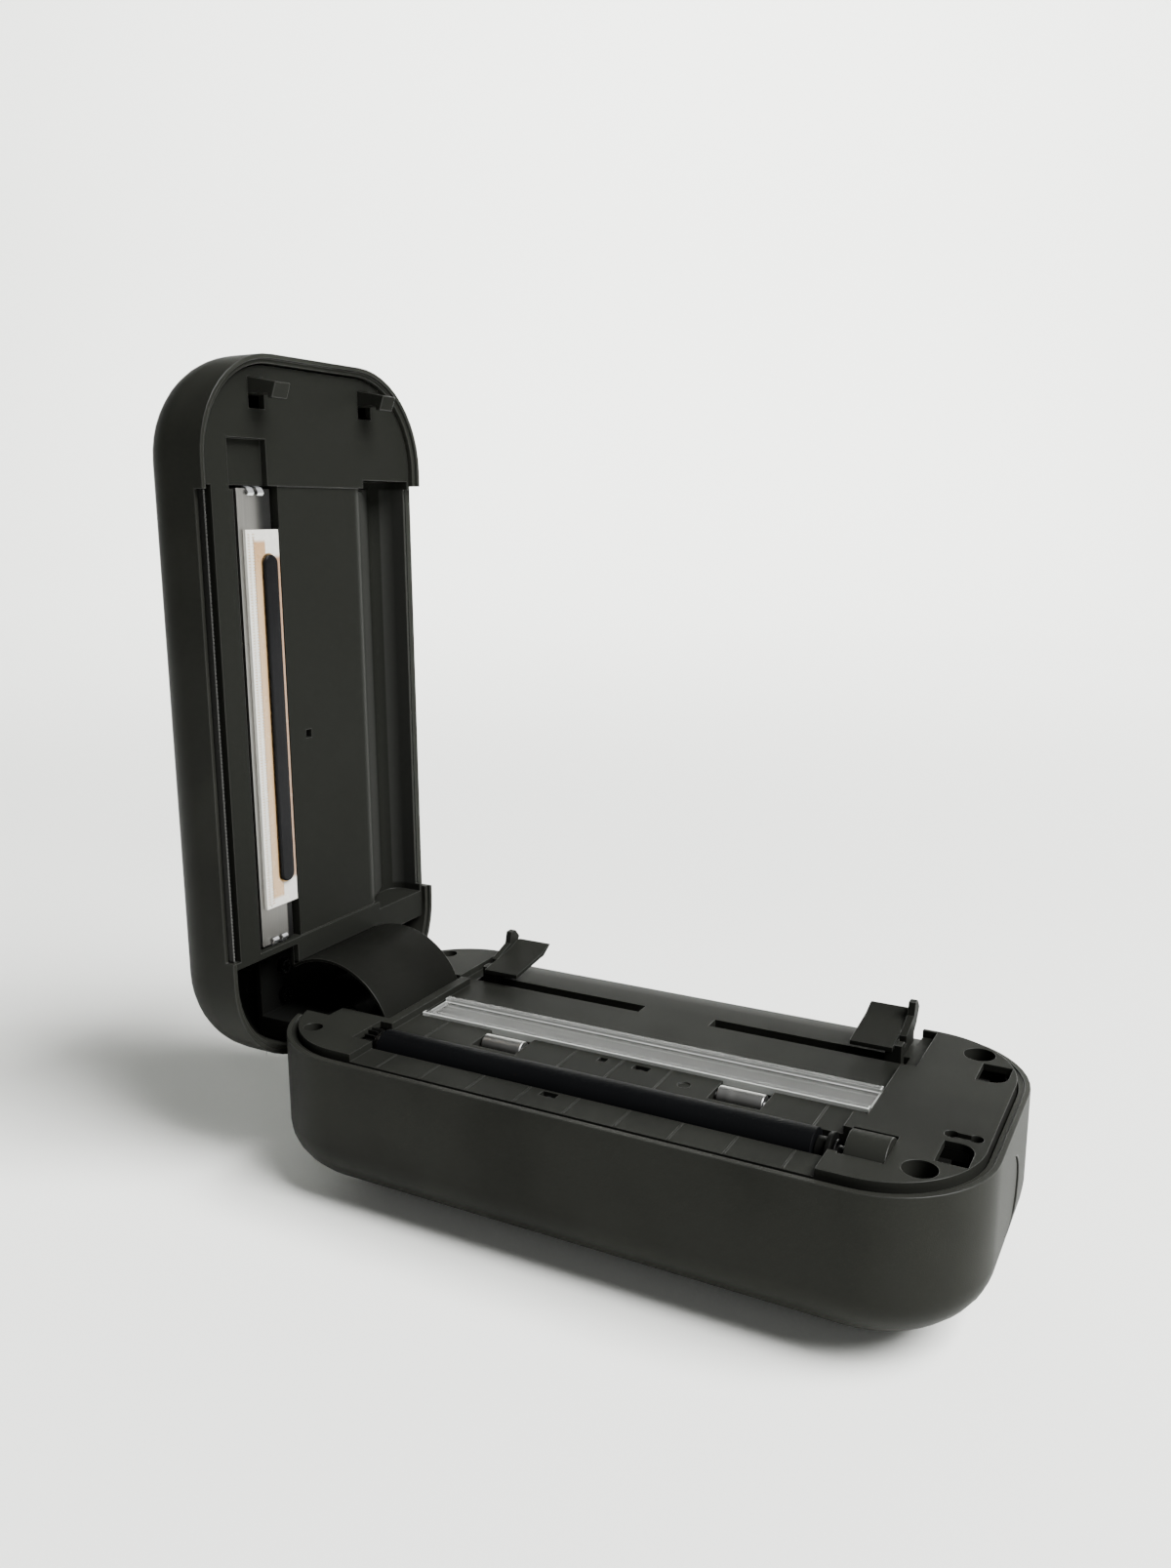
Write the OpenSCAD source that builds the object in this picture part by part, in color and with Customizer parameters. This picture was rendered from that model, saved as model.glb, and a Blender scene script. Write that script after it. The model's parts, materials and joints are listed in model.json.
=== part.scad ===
// Portable thermal label printer with a clamshell lid, shown with the lid standing open.
// +X points from the hinge to the latch, +Y to the side where paper goes in, +Z up.
// The origin lies on the table under the middle of the base. All lengths are in millimetres.
// Pieces of the lid are placed as they lie with the lid shut, and open_lid() stands them up.

/* [Body] */
// Length of the base and of the lid
body_len = 200; // [196:0.5:206]
// Width of the base and of the lid
body_w = 95.3; // [94:0.1:98]
// Height of the base's rim above the table
base_h = 45.6; // [44.5:0.1:48]
// Depth of the lid from its rim to its outer face
lid_h = 26.8; // [26:0.1:30]
// Radius of the four corners seen from above
plan_r = 28.9; // [27:0.1:30]
// Reach of the base's rounded lower edge, measured inward
edge_reach = 37; // [34:0.5:40]
// Height of the base's rounded lower edge
edge_rise = 20; // [18:0.5:22]
// Radius of the lid's rounded outer edge
lid_edge = 16.5; // [14:0.5:18]
// Wall of the base shell
base_wall = 3; // [2.6:0.1:3.2]
// Wall of the lid shell
lid_wall = 2.5; // [2.2:0.1:2.8]
// Open groove between each shell and the frame inside it
groove = 0.4; // [0.3:0.05:0.5]
// Gap between the two rims with the lid shut
rim_gap = 0.2; // [0.1:0.05:0.3]
// Height of the rubber pad below the shell
foot_proud = 0.6; // [0.5:0.1:0.9]
// Distance of the rubber pad's ends from the ends of the base
pad_in = 42; // [38:0.5:50]
// Distance of the rubber pad's sides from the sides of the base
pad_side = 34.65; // [31:0.05:38]

/* [Hinge] */
// Distance of the hinge axis from the end of the base
hinge_in = 6.3; // [6.1:0.1:6.8]
// Distance of the hinge axis below the base's rim
hinge_down = 7.7; // [7.4:0.1:8.2]
// Diameter of the steel hinge pin
hinge_pin_d = 3; // [2.5:0.1:4]
// Diameter of the hinge knuckles
knuckle_d = 11; // [10:0.2:11.4]
// Half of the length of the hinge along the pin
hinge_half = 24.6; // [22:0.2:26]
// Half of the length of the middle knuckle, which stands on the base
middle_half = 9; // [7:0.2:11]
// Radius of the curved cover over the hinge, to the middle of its wall
cover_r = 22.6; // [22:0.1:23.2]
// Half of the width of the curved cover
cover_half = 18.5; // [16:0.2:18.8]
// Wall of the curved cover
cover_t = 0.9; // [0.8:0.05:1.2]

/* [Paper path] */
// Depth of the paper deck below the rim
deck_low = 0.4; // [0.2:0.1:0.8]
// Height of the two end blocks above the rim
block_up = 1.7; // [1.4:0.1:1.9]
// Distance of each end block's inner edge from the end of the base
block_in = 32.5; // [31.5:0.1:33]
// Thickness of the deck
deck_t = 2.4; // [2:0.1:2.8]
// Thickness of the top of each end block
block_t = 2; // [1.6:0.1:2.4]
// Diameter of the rubber platen roller
platen_d = 11; // [10.6:0.1:11.2]
// Distance of the platen roller's axis from the front of the base
platen_side = 19.45; // [19.05:0.05:19.65]
// Height of the platen roller's top above the rim
platen_up = 2.6; // [2.4:0.1:2.7]
// Gap between the rubber and the end block at the hinge end
rubber_left_gap = 2.5; // [2.3:0.1:4.5]
// Gap between the rubber and the end block at the latch end
rubber_right_gap = 8; // [7.5:0.1:10]
// Diameter of the platen shaft
shaft_d = 5; // [4.4:0.1:5.4]
// Width of the clear bar across the deck
clear_w = 14.2; // [12:0.2:15]
// Gap between the clear bar and each end block
clear_gap = 1; // [0.5:0.1:5]
// Distance of each chrome roller from the middle
pinch_x = 35.3; // [33:0.1:38]
// Diameter of each chrome roller
pinch_d = 5.6; // [5:0.1:6]
// Length of each chrome roller
pinch_len = 12.4; // [10:0.1:13]

/* [Paper guides] */
// Distance of each guide's fence, to its inner face, from the end block's inner edge
fence_in = 3.3; // [2.9:0.1:4.5]
// Thickness of each guide's fence
fence_t = 2; // [1.6:0.1:2.2]
// Width of each guide's hold-down flap
flap_w = 11.6; // [9:0.1:12]
// Thickness of each guide's hold-down flap
flap_t = 1.3; // [1.1:0.1:1.5]
// Distance of each fence from the middle when the guides are pushed together
guide_stop = 14.2; // [13.2:0.1:20]
// Travel of each guide away from the middle
guide_out = 1; // [0.6:0.1:1.2]
// Distance of the guide slots from the back of the base
slot_side = 22.25; // [21.85:0.05:22.65]
// Width of the guide slots
slot_w = 4.9; // [4.6:0.1:5.2]
// Tooth size of the racks and of the pinion between them
rack_module = 0.75; // [0.7:0.05:0.8]
// Number of teeth on the pinion between the racks
pinion_teeth = 12; // [12:1:12]

/* [Drive] */
// Tooth size of the gears that turn the platen
gear_module = 0.5; // [0.48:0.01:0.52]
// Number of teeth on the platen gear
platen_teeth = 18; // [16:1:18]
// Number of teeth on the idler gear
idler_teeth = 32; // [28:1:34]
// Number of teeth on the motor's pinion
motor_teeth = 12; // [12:1:14]
// Width of the gears
gear_w = 3.2; // [2.6:0.1:3.4]
// Diameter of the stepper motor
motor_d = 20; // [18:0.2:20.4]
// Length of the stepper motor
motor_len = 16; // [12:0.5:19]

/* [Print head] */
// Gap between each end of the print head and the end block's inner edge
head_gap_x = 2.8; // [2.5:0.1:4.5]
// Width of the print head
head_w = 13; // [12:0.1:13.4]
// Height of the aluminium body of the print head
head_h = 5.2; // [4:0.1:6]
// Bare aluminium beyond each end of the ceramic strip
ceramic_in = 11; // [8.7:0.1:12.7]
// Thickness of the ceramic strip
ceramic_t = 1; // [0.8:0.05:1.2]
// Distance from the front edge of the ceramic strip to its heating line
heater_in = 3.4; // [3.2:0.1:3.8]
// Travel of the print head against its springs
head_travel = 0.8; // [0.5:0.1:1.2]

/* [Latch] */
// Distance of each latch hook from the side of the body
hook_side = 24.35; // [23.85:0.05:25.05]
// Distance of the hooks' shanks from the end of the body
hook_in = 8.5; // [8.4:0.1:9]
// Width of each hook
hook_w = 6; // [5:0.1:6.2]
// Length of each hook below the lid's inner face
hook_len = 9.5; // [9:0.1:10]
// Reach of each hook's nose
nose = 1.4; // [1.2:0.1:1.6]
// Travel of the release button
latch_travel = 2.8; // [2.8:0.1:3.2]
// Diameter of the release button
button_d = 19; // [17:0.2:20]
// Height of the release button's centre above the table
button_z = 27; // [26.5:0.1:28]

/* [Power] */
// Diameter of the power button on the lid
power_d = 10.6; // [9:0.2:12]
// Travel of the power button
power_travel = 0.8; // [0.5:0.1:1]
// Diameter of each battery cell
cell_d = 18.4; // [17.8:0.1:18.6]
// Length of each battery cell
cell_len = 65; // [60:0.5:68]
// Width of the charging port
port_w = 9; // [8.6:0.1:9.4]
// Height of the charging port
port_h = 3.2; // [3:0.1:3.4]

/* [Hidden] */
$fn = 48;

case_black = [0.13, 0.13, 0.125];
frame_black = [0.18, 0.18, 0.175];
rubber_black = [0.09, 0.09, 0.11];
steel = [0.72, 0.73, 0.74];
zinc = [0.55, 0.56, 0.57];
brass = [0.78, 0.64, 0.34];
aluminium = [0.8, 0.8, 0.79];
ceramic_white = [0.93, 0.9, 0.84];
clear_grey = [0.62, 0.65, 0.66];
gear_white = [0.86, 0.85, 0.8];
board_green = [0.1, 0.33, 0.2];
cell_blue = [0.2, 0.35, 0.55];

// Overrun of every cut, clearance of a running fit, and gap between pieces that pass each other
over = 1;
fit = 0.05;
pass_gap = 0.3;

// Places that several pieces share
half_len = body_len / 2;
half_w = body_w / 2;
pad_len = body_len - 2 * pad_in;
pad_w = body_w - 2 * pad_side;
block_x = half_len - block_in;
rubber_left = block_x - rubber_left_gap;
rubber_right = block_x - rubber_right_gap;
clear_len = 2 * (block_x - clear_gap);
fence_x = block_x - fence_in;
guide_in = fence_x - guide_stop;
slot_y = half_w - slot_side;
head_len = 2 * (block_x - head_gap_x);
ceramic_len = head_len - 2 * ceramic_in;
hook_x = half_len - hook_in;
hook_y = half_w - hook_side;
hinge_x = hinge_in - half_len;
hinge_z = base_h - hinge_down;
deck_z = base_h - deck_low;
deck_under = deck_z - deck_t;
block_z = base_h + block_up;
block_under = block_z - block_t;
lid_rim = base_h + rim_gap;
lid_top = base_h + lid_h;
lid_under = lid_top - lid_wall;
floor_t = 2.4;
pad_sunk = 0.8;
foot_cover = 0.4;
post_foot = foot_proud + pad_sunk + foot_cover;
floor_z = foot_proud + floor_t;
frame_in = base_wall + groove;
frame_len = body_len - 2 * frame_in;
frame_w = body_w - 2 * frame_in;
frame_r = plan_r - frame_in;
lid_frame_in = lid_wall + groove;
lid_frame_w = body_w - 2 * lid_frame_in;

// Facets of the two shells: steps round each corner and up each rounded edge, and least radius
arc_steps = 12;
edge_steps = 9;
least_r = 0.9;

// Cut in the hinge end for the knuckles, and the opening under the curved cover
notch_gap = 0.6;
notch_deep_gap = 1.1;
notch_half = hinge_half + notch_gap;
notch_z = hinge_z - knuckle_d / 2 - notch_deep_gap;
cover_gap = 0.6;
cover_foot_angle = -74;
knuckle_gap = 0.4;

// Platen roller and what lines up with it
trough_gap = 0.7;
platen_y = platen_side - half_w;
platen_z = base_h + platen_up - platen_d / 2;
trough_half = platen_d / 2 + trough_gap;
neck_d = 7.4;
collar_w = 2.7;
flange_w = 1.2;
collar_gap = 0.3;
collar_x = rubber_right + collar_gap;
bush_d = 8;
bush_len = 4.5;
bush_x = block_x;
cap_r = 7;
cap_len = 9.8;
cap_lead = 0.2;
cap_end = 2.4;
flange_less = 0.5;
cap_x = block_x - cap_lead;
shaft_right = cap_x + cap_len - cap_end;
plate_t = 1.2;
rubber_plate_gap = 0.6;
plate_gear_gap = 0.4;
plate_x = -rubber_left - rubber_plate_gap;
gear_x = plate_x - plate_t - plate_gear_gap;

// Gear train: pitch radii, and the directions from one axis to the next
platen_pitch = gear_module * platen_teeth / 2;
idler_pitch = gear_module * idler_teeth / 2;
motor_pitch = gear_module * motor_teeth / 2;
idler_angle = 261;
motor_angle = 272.6;
idler_y = platen_y + (platen_pitch + idler_pitch) * cos(idler_angle);
idler_z = platen_z + (platen_pitch + idler_pitch) * sin(idler_angle);
motor_y = idler_y + (idler_pitch + motor_pitch) * cos(motor_angle);
motor_z = idler_z + (idler_pitch + motor_pitch) * sin(motor_angle);
idler_phase = idler_angle + 180 + 180 / idler_teeth + idler_angle * platen_teeth / idler_teeth;
motor_phase = motor_angle + 180 + 180 / motor_teeth
    - (idler_phase - motor_angle) * idler_teeth / motor_teeth;
stud_d = 2.5;
motor_shaft_d = 2;

// Clear bar, chrome rollers and sensor windows
clear_y = -1.5;
clear_t = 2.2;
clear_up = 0.9;
clear_lip = 2.2;
clear_web = 1.3;
pinch_y = -13.3;
pinch_up = 0.8;
pinch_z = deck_z + pinch_up - pinch_d / 2;
axle_d = 2;
window_gap = 0.8;
window_wall = 2.4;
axle_boss = 2.6;
sensor_x = -5.4;
sensor_y = -11.6;
sensor_small = 2.4;
sensor_wide = 4.6;
sensor_second = 11.6;
sensor_front_x = -8;
sensor_front_y = -36.4;

// Inlet lip at the back of the deck
inlet_fall = 2.6;
inlet_fall_side = 11.65;
inlet_edge = 0.35;
inlet_start = half_w - inlet_fall_side;
inlet_lip = 0.9;
inlet_y = half_w - inlet_edge;
wall_cut_z = deck_z - inlet_fall - inlet_lip;

// Guide racks under the deck
pinion_pitch = rack_module * pinion_teeth / 2;
rack_t = 2.4;
rack_back = 3.2;
rack_drop = 0.8;
rack_top = deck_under - rack_drop;
rack_past = 10;
track_t = 1.8;
track_wall = 1.5;
track_past = 2.5;
track_len = 2 * (block_x + track_past);
pinion_stud_d = 3;

// Wells that hold the deck screws
well_d = 8.2;
well_wall = 0.6;
well_deep = 9;
well_floor = 1.8;
well_in = 15.2;
well_side = 13.85;
boss_in = 14;
boss_side = 13.45;
well_x = half_len - well_in;
well_y = half_w - well_side;
boss_x = half_len - boss_in;
boss_y = half_w - boss_side;
boss_d = 5.4;
screw_d = 2.4;
screw_head = 4.4;
screw_head_h = 1.8;
post_d = 7;

// Latch
lid_face = 2.4;
face_z = base_h + lid_face;
face_t = 2;
shank_t = 4.4;
shank_slope = 1.8;
nose_h = 3;
hook_bar_t = 2.8;
hook_hole = 5.9;
hook_low = face_z - hook_len;
catch_z = hook_low + nose_h + pass_gap;
catch_t = 2;
slider_reach = 11;
catch_gap = 0.3;
slider_back = hook_x - slider_reach;
catch_tip = hook_x - shank_t / 2 - catch_gap;
stem_d = 6;
button_t = 2.6;
button_sink = 0.4;
retainer_t = 1.8;
spring_seat_x = block_x + block_t;
spring_y = 9;
spring_wire = 0.5;
latch_spring_d = 4.4;

// Lid frame: places across the width, with the lid shut
panel_step = 0.6;
head_back_gap = 2.2;
channel_deep = 12.6;
recess_deep = 13.4;
bend_side = 29.65;
panel_z = face_z + panel_step;
head_front_y = platen_y - heater_in;
head_gap = 2.6;
channel_y0 = head_front_y - head_gap;
channel_y1 = head_front_y + head_w + head_back_gap;
channel_z = face_z + channel_deep;
bend_y = half_w - bend_side;
bend_r = 4.4;
ramp_angle = 30;
ramp_steps = 6;
guide_room_in = 3.4;
guide_room_y = bend_y + guide_room_in;
recess_z = base_h + recess_deep;
lid_frame_t = 2;
lid_block_in = 2.1;
exit_in = 3.3;
inlet_in = 1.1;
fence_spare = 0.3;
lid_block_x = block_x - lid_block_in;
strip_len = 11.2;
exit_groove = 2.4;
exit_groove_deep = 3;
exit_half = block_x - exit_in;
inlet_half = block_x - inlet_in;
wall_cut = 2.8;
inlet_mouth = 4.6;
inlet_top = deck_z + inlet_mouth;
fence_room = block_x + fence_spare;
recess_fillet = 5;
recess_back_t = 1;
recess_back_y = half_w - lid_frame_in - recess_back_t;
recess_slope = 0.95;
nip_gap = 0.3;
ceramic_z = base_h + platen_up + nip_gap;

// Electronics
board_z = 25.4;
board_t = 1.6;
board_x0 = -45;
board_gap = 3.5;
board_side = 26.65;
board_hole_in = 4;
board_x1 = block_x - board_gap;
board_half = half_w - board_side;
cell_z = 14.5;
cell_pitch = 19.2;
cell_x = 12;
port_in = 12;
power_in = 32;
port_x = board_x1 - port_in;
power_x = half_len - power_in;

// Rounded rectangle with its middle at the origin
module round_rect(length, width, radius) {
    square([length - 2 * radius, width], center = true);
    square([length, width - 2 * radius], center = true);
    for (sx = [-1, 1], sy = [-1, 1])
        translate([sx * (length / 2 - radius), sy * (width / 2 - radius)]) circle(radius);
}

// Block between two corners
module block(x0, x1, y0, y1, z0, z1) {
    translate([x0, y0, z0]) cube([x1 - x0, y1 - y0, z1 - z0]);
}

// Rectangle between two corners of a cross-section
module patch(y0, y1, z0, z1) {
    translate([y0, z0]) square([y1 - y0, z1 - z0]);
}

// Cross-section in Y and Z drawn out along X
module along_x(x0, x1) {
    translate([x0, 0, 0]) rotate([90, 0, 90]) linear_extrude(x1 - x0) children();
}

// Rods along each axis
module rod_x(x0, x1, y, z, d) {
    translate([x0, y, z]) rotate([0, 90, 0]) cylinder(d = d, h = x1 - x0);
}
module rod_y(y0, y1, x, z, d) {
    translate([x, y1, z]) rotate([90, 0, 0]) cylinder(d = d, h = y1 - y0);
}
module rod_z(z0, z1, x, y, d) {
    translate([x, y, z0]) cylinder(d = d, h = z1 - z0);
}

// Stands the lid's pieces up about the hinge axis
module open_lid() {
    translate([hinge_x, 0, hinge_z]) rotate([0, -90, 0]) translate([-hinge_x, 0, -hinge_z])
        children();
}

// One ring of the body's outline, drawn in by an inset, at a height
function ring(inset, z) = [for (c = [0:3], k = [0:arc_steps])
    let (a = 90 * c + 90 * k / arc_steps, r = max(plan_r - inset, least_r),
        sx = c == 0 || c == 3 ? 1 : -1, sy = c < 2 ? 1 : -1)
    [sx * (half_len - plan_r) + r * cos(a), sy * (half_w - plan_r) + r * sin(a), z]];

// Solid skinned over rings from low to high
module skin(rings) {
    n = len(rings[0]);
    m = len(rings);
    polyhedron(points = [for (r = rings) each r], faces = concat(
        [[for (k = [0:n - 1]) k]], [[for (k = [n - 1:-1:0]) (m - 1) * n + k]],
        [for (i = [0:m - 2], k = [0:n - 1]) let (j = (k + 1) % n)
            [i * n + k, (i + 1) * n + k, (i + 1) * n + j, i * n + j]]));
}

// Base outline: an elliptical lower edge and upright walls
first_angle = acos(1 - foot_proud / edge_rise);
function edge_angle(k) = first_angle + (90 - first_angle) * k / edge_steps;
function base_rings(inset, lift, top) = concat(
    [for (k = [0:edge_steps]) let (a = edge_angle(k))
        ring(edge_reach * (1 - sin(a)) + inset, edge_rise * (1 - cos(a)) + lift)],
    [ring(inset, top)]);

// Lid outline: upright walls and a round outer edge
function lid_rings(inset, low, top) = concat([ring(inset, low)],
    [for (k = [0:edge_steps]) let (a = 90 * k / edge_steps, r = lid_edge - inset)
        ring(inset + r * (1 - cos(a)), top - r + r * sin(a))]);

module base_outer() {
    skin(base_rings(0, 0, base_h));
}

module base_shell() color(case_black) {
    difference() {
        base_outer();
        skin(base_rings(base_wall, floor_t, base_h + over));
        block(-block_x - groove, block_x + groove, half_w - 2 * base_wall, half_w + over,
            wall_cut_z, base_h + over);
        block(-half_len - over, hinge_x + over, -notch_half, notch_half, notch_z, base_h + over);
        rod_x(half_len - 2 * base_wall, half_len + over, 0, button_z, button_d + 2 * pass_gap);
        port_cut(pass_gap / 2);
        translate([0, 0, -over]) linear_extrude(foot_proud + pad_sunk + over)
            round_rect(pad_len, pad_w, pad_r);
        translate([0, 0, base_h - base_step]) linear_extrude(base_step + over)
            round_rect(body_len - base_wall, body_w - base_wall, plan_r - base_wall / 2);
    }
    intersection() {
        base_outer();
        base_posts();
    }
}

base_step = 0.7;
lid_step = 1;

// Posts and pads that rise from the base's floor
module base_posts() {
    post_top = block_z - well_deep - well_floor;
    difference() {
        union() {
            for (p = deck_screw_places) rod_z(post_foot, post_top, p[0], p[1], post_d);
            for (p = board_places) rod_z(post_foot, board_z, p[0], p[1], post_d);
            block(-half_len, hinge_x + knuckle_leg, -middle_half, middle_half, post_foot,
                bracket_z);
            block(plate_x - plate_t, plate_x, motor_y - motor_d / 3, motor_y + motor_d / 3,
                post_foot, plate_low);
        }
        for (p = deck_screw_places)
            rod_z(post_top - 2 * post_d, post_top + over, p[0], p[1], screw_d + 2 * fit);
    }
}

knuckle_leg = 3.8;
leg_back = 2.8;
bracket_drop = 12;
bracket_z = hinge_z - bracket_drop;
deck_screw_places = [for (sy = [-1, 1]) each [[well_x, sy * well_y], [-boss_x, sy * boss_y]]];
board_places = [for (sy = [-1, 1]) each [[board_x0 + board_hole_in, sy * (board_half - board_hole_in)],
    [board_x1 - board_hole_in, sy * (board_half - board_hole_in)]]];

// Pad that the base stands on, set into a recess of its own outline
module rubber_pad() color(rubber_black) {
    linear_extrude(foot_proud + pad_sunk)
        round_rect(pad_len - 2 * fit, pad_w - 2 * fit, pad_r - fit);
}
pad_r_share = 0.3;
pad_r = pad_r_share * pad_w;

// Opening for the charging port in the back wall
module port_cut(gap) {
    y0 = half_w - 2 * base_wall;
    for (s = [-1, 1])
        rod_y(y0, half_w + over, port_x + s * (port_w - port_h) / 2, port_z, port_h + 2 * gap);
    block(port_x - (port_w - port_h) / 2, port_x + (port_w - port_h) / 2, y0, half_w + over,
        port_z - port_h / 2 - gap, port_z + port_h / 2 + gap);
}
port_z = board_z + board_t + port_h / 2;

// Deck: the paper path between two raised end blocks
module deck_frame() color(frame_black) {
    difference() {
        union() {
            along_x(-block_x, block_x) deck_section();
            for (s = [-1, 1]) end_block(s);
            latch_front_block();
            deck_wells();
            for (s = [-1, 1]) axle_bosses(s);
            spring_wall();
            bearing_saddle();
            deck_ribs();
        }
        deck_cuts();
    }
}

// Cross-section of the deck, falling away to the inlet at the back
module deck_section() {
    polygon([[-frame_w / 2, deck_under], [-frame_w / 2, deck_z], [inlet_start, deck_z],
        [inlet_y, deck_z - inlet_fall], [inlet_y, wall_cut_z], [frame_w / 2, wall_cut_z],
        [frame_w / 2 - deck_t, deck_under - deck_t], [inlet_start, deck_under]]);
}

// Raised block at one end, with a skirt under its edge
module end_block(s) {
    intersection() {
        translate([0, 0, deck_under]) linear_extrude(block_z - deck_under)
            round_rect(frame_len, frame_w, frame_r);
        union() {
            block(min(s * block_x, s * half_len), max(s * block_x, s * half_len),
                -half_w, half_w, block_under, block_z);
            block(min(s * block_x, s * (block_x + block_t)), max(s * block_x,
                s * (block_x + block_t)), -half_w, half_w, deck_under, block_z);
            block(min(s * block_x, s * (notch_x + block_t)), max(s * block_x, s * (notch_x
                + block_t)), notch_front - block_t, half_w, deck_under, block_z);
            difference() {
                block(min(s * block_x, s * half_len), max(s * block_x, s * half_len),
                    -half_w, half_w, deck_under, block_z);
                translate([0, 0, deck_under - over]) linear_extrude(block_z)
                    round_rect(frame_len - 2 * block_t, frame_w - 2 * block_t,
                        frame_r - block_t);
            }
        }
    }
}

// The latch block reaches in beside the platen roller's end
module latch_front_block() {
    block(collar_x + collar_w + flange_w + collar_gap, block_x + block_t, -frame_w / 2,
        front_block_y, deck_under, block_z);
    block(-block_x, -block_x + ledge_w, -frame_w / 2, platen_y - trough_half, deck_under, block_z);
}
front_block_side = 34.05;
front_block_y = front_block_side - half_w;
ledge_w = 2.4;

module deck_wells() {
    for (p = deck_screw_places) {
        d = p[0] > 0 ? well_d : boss_d;
        rod_z(block_z - well_deep - well_floor, block_z, p[0], p[1], d + 2 * well_wall);
    }
}

module axle_bosses(s) {
    for (e = [-1, 1]) {
        x = s * pinch_x + e * (pinch_len / 2 + window_gap + axle_boss / 2);
        block(x - axle_boss / 2, x + axle_boss / 2, pinch_y - pinch_d / 2, pinch_y + pinch_d / 2,
            pinch_z - axle_d, deck_z - deck_t / 2);
    }
}

// Wall that the latch springs push against
module spring_wall() {
    block(block_x, spring_seat_x, -spring_y - latch_spring_d, spring_y + latch_spring_d,
        catch_z - latch_spring_d, block_under);
}

// Half bearing under the platen shaft's right end
module bearing_saddle() {
    block(cap_x, cap_x + cap_len, platen_y - cap_r, platen_y + cap_r, saddle_low, platen_z);
    block(cap_x, cap_x + cap_len, platen_y - cap_r - saddle_t, platen_y - cap_r, saddle_low,
        block_z);
    block(cap_x, cap_x + cap_len, platen_y + cap_r, platen_y + cap_r + saddle_t, saddle_low,
        block_z);
}
saddle_t = 1.2;
saddle_low = platen_z - bush_d / 2 - 0.9;

// Low ribs that the paper slides on, before and behind the platen roller
module deck_ribs() {
    for (k = [-rib_count:rib_count]) {
        x = k * rib_pitch;
        block(x - rib_w / 2, x + rib_w / 2, -frame_w / 2 + rib_w, platen_y - trough_half - rib_w,
            deck_under, deck_z + rib_h);
        if (abs(abs(x) - pinch_x) > pinch_len / 2 + window_gap + rib_w)
            block(x - rib_w / 2, x + rib_w / 2, platen_y + trough_half + rib_w,
                clear_y - clear_w / 2 - rib_w, deck_under, deck_z + rib_h);
    }
}
rib_count = 4;
rib_pitch = 14.15;
rib_w = 0.5;
rib_h = 0.25;

module deck_cuts() {
    block(-block_x - pocket_in, cap_x - collar_gap, platen_y - trough_half,
        platen_y + trough_half, -over, block_z + over);
    rod_x(bush_x, bush_x + bush_len, platen_y, platen_z, bush_d + 2 * fit);
    rod_x(cap_x - over, cap_x + cap_len - saddle_t, platen_y, platen_z, shaft_d + 2 * pass_gap);
    block(cap_x - over, cap_x + cap_len, platen_y - cap_r, platen_y + cap_r,
        platen_z, block_z + over);
    block(-clear_len / 2 - fit, clear_len / 2 + fit, clear_y - clear_w / 2 - fit,
        clear_y + clear_w / 2 + fit, deck_z + clear_up - clear_t, deck_z + over);
    for (s = [-1, 1]) {
        block(s * pinch_x - pinch_len / 2 - window_gap, s * pinch_x + pinch_len / 2 + window_gap,
            platen_y + trough_half + window_wall, clear_y - clear_w / 2,
            pinch_z - pinch_d, deck_z + over);
        rod_x(s * pinch_x - axle_half, s * pinch_x + axle_half, pinch_y, pinch_z,
            axle_d + 2 * fit);
    }
    for (s = [-1, 1]) guide_slot_cut(s);
    sensor_windows();
    for (p = deck_screw_places) {
        d = p[0] > 0 ? well_d : boss_d;
        rod_z(block_z - well_deep, block_z + over, p[0], p[1], d);
        rod_z(block_z - well_deep - 2 * well_floor, block_z, p[0], p[1], screw_d + 2 * fit);
    }
    for (s = [-1, 1]) hook_pocket(s);
    key_slot();
    hinge_opening();
    rod_z(deck_z - dimple_deep, deck_z + over, dimple_x, dimple_y, dimple_d);
}
pocket_in = 4.2;
foot_w = 4.4;
axle_past = 1.6;
axle_half = pinch_len / 2 + window_gap + axle_past;
dimple_deep = 0.4;
dimple_d = 3.4;
dimple_x = 20.2;
dimple_y = -15.5;

module guide_slot_cut(s) {
    x0 = fence_x + fence_t - foot_w - guide_in - 2 * pass_gap;
    x1 = fence_x + fence_t + guide_out + 2 * pass_gap;
    block(min(s * x0, s * x1), max(s * x0, s * x1), slot_y - slot_w / 2, slot_y + slot_w / 2,
        deck_under - over, block_z + over);
    block(min(s * (block_x - over), s * notch_x), max(s * (block_x - over), s * notch_x),
        notch_front, notch_back, deck_z, block_z + over);
}
// Notch in each end block that the guide's fence can slide into
notch_in = 4;
notch_front_side = 29.05;
notch_back_side = 4.65;
notch_x = block_x + notch_in;
notch_front = half_w - notch_front_side;
notch_back = half_w - notch_back_side;

module sensor_windows() {
    block(sensor_x - sensor_small / 2, sensor_x + sensor_small / 2, sensor_y - sensor_small / 2,
        sensor_y + sensor_small / 2, deck_under - over, deck_z + over);
    x2 = sensor_x + sensor_second;
    block(x2 - sensor_wide / 2, x2 + sensor_wide / 2, sensor_y - sensor_small / 2,
        sensor_y + sensor_small / 2, deck_under - over, deck_z + over);
    block(sensor_front_x - sensor_wide / 2, sensor_front_x + sensor_wide / 2,
        sensor_front_y - sensor_small / 2, sensor_front_y + sensor_small / 2,
        deck_under - over, deck_z + over);
}

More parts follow.
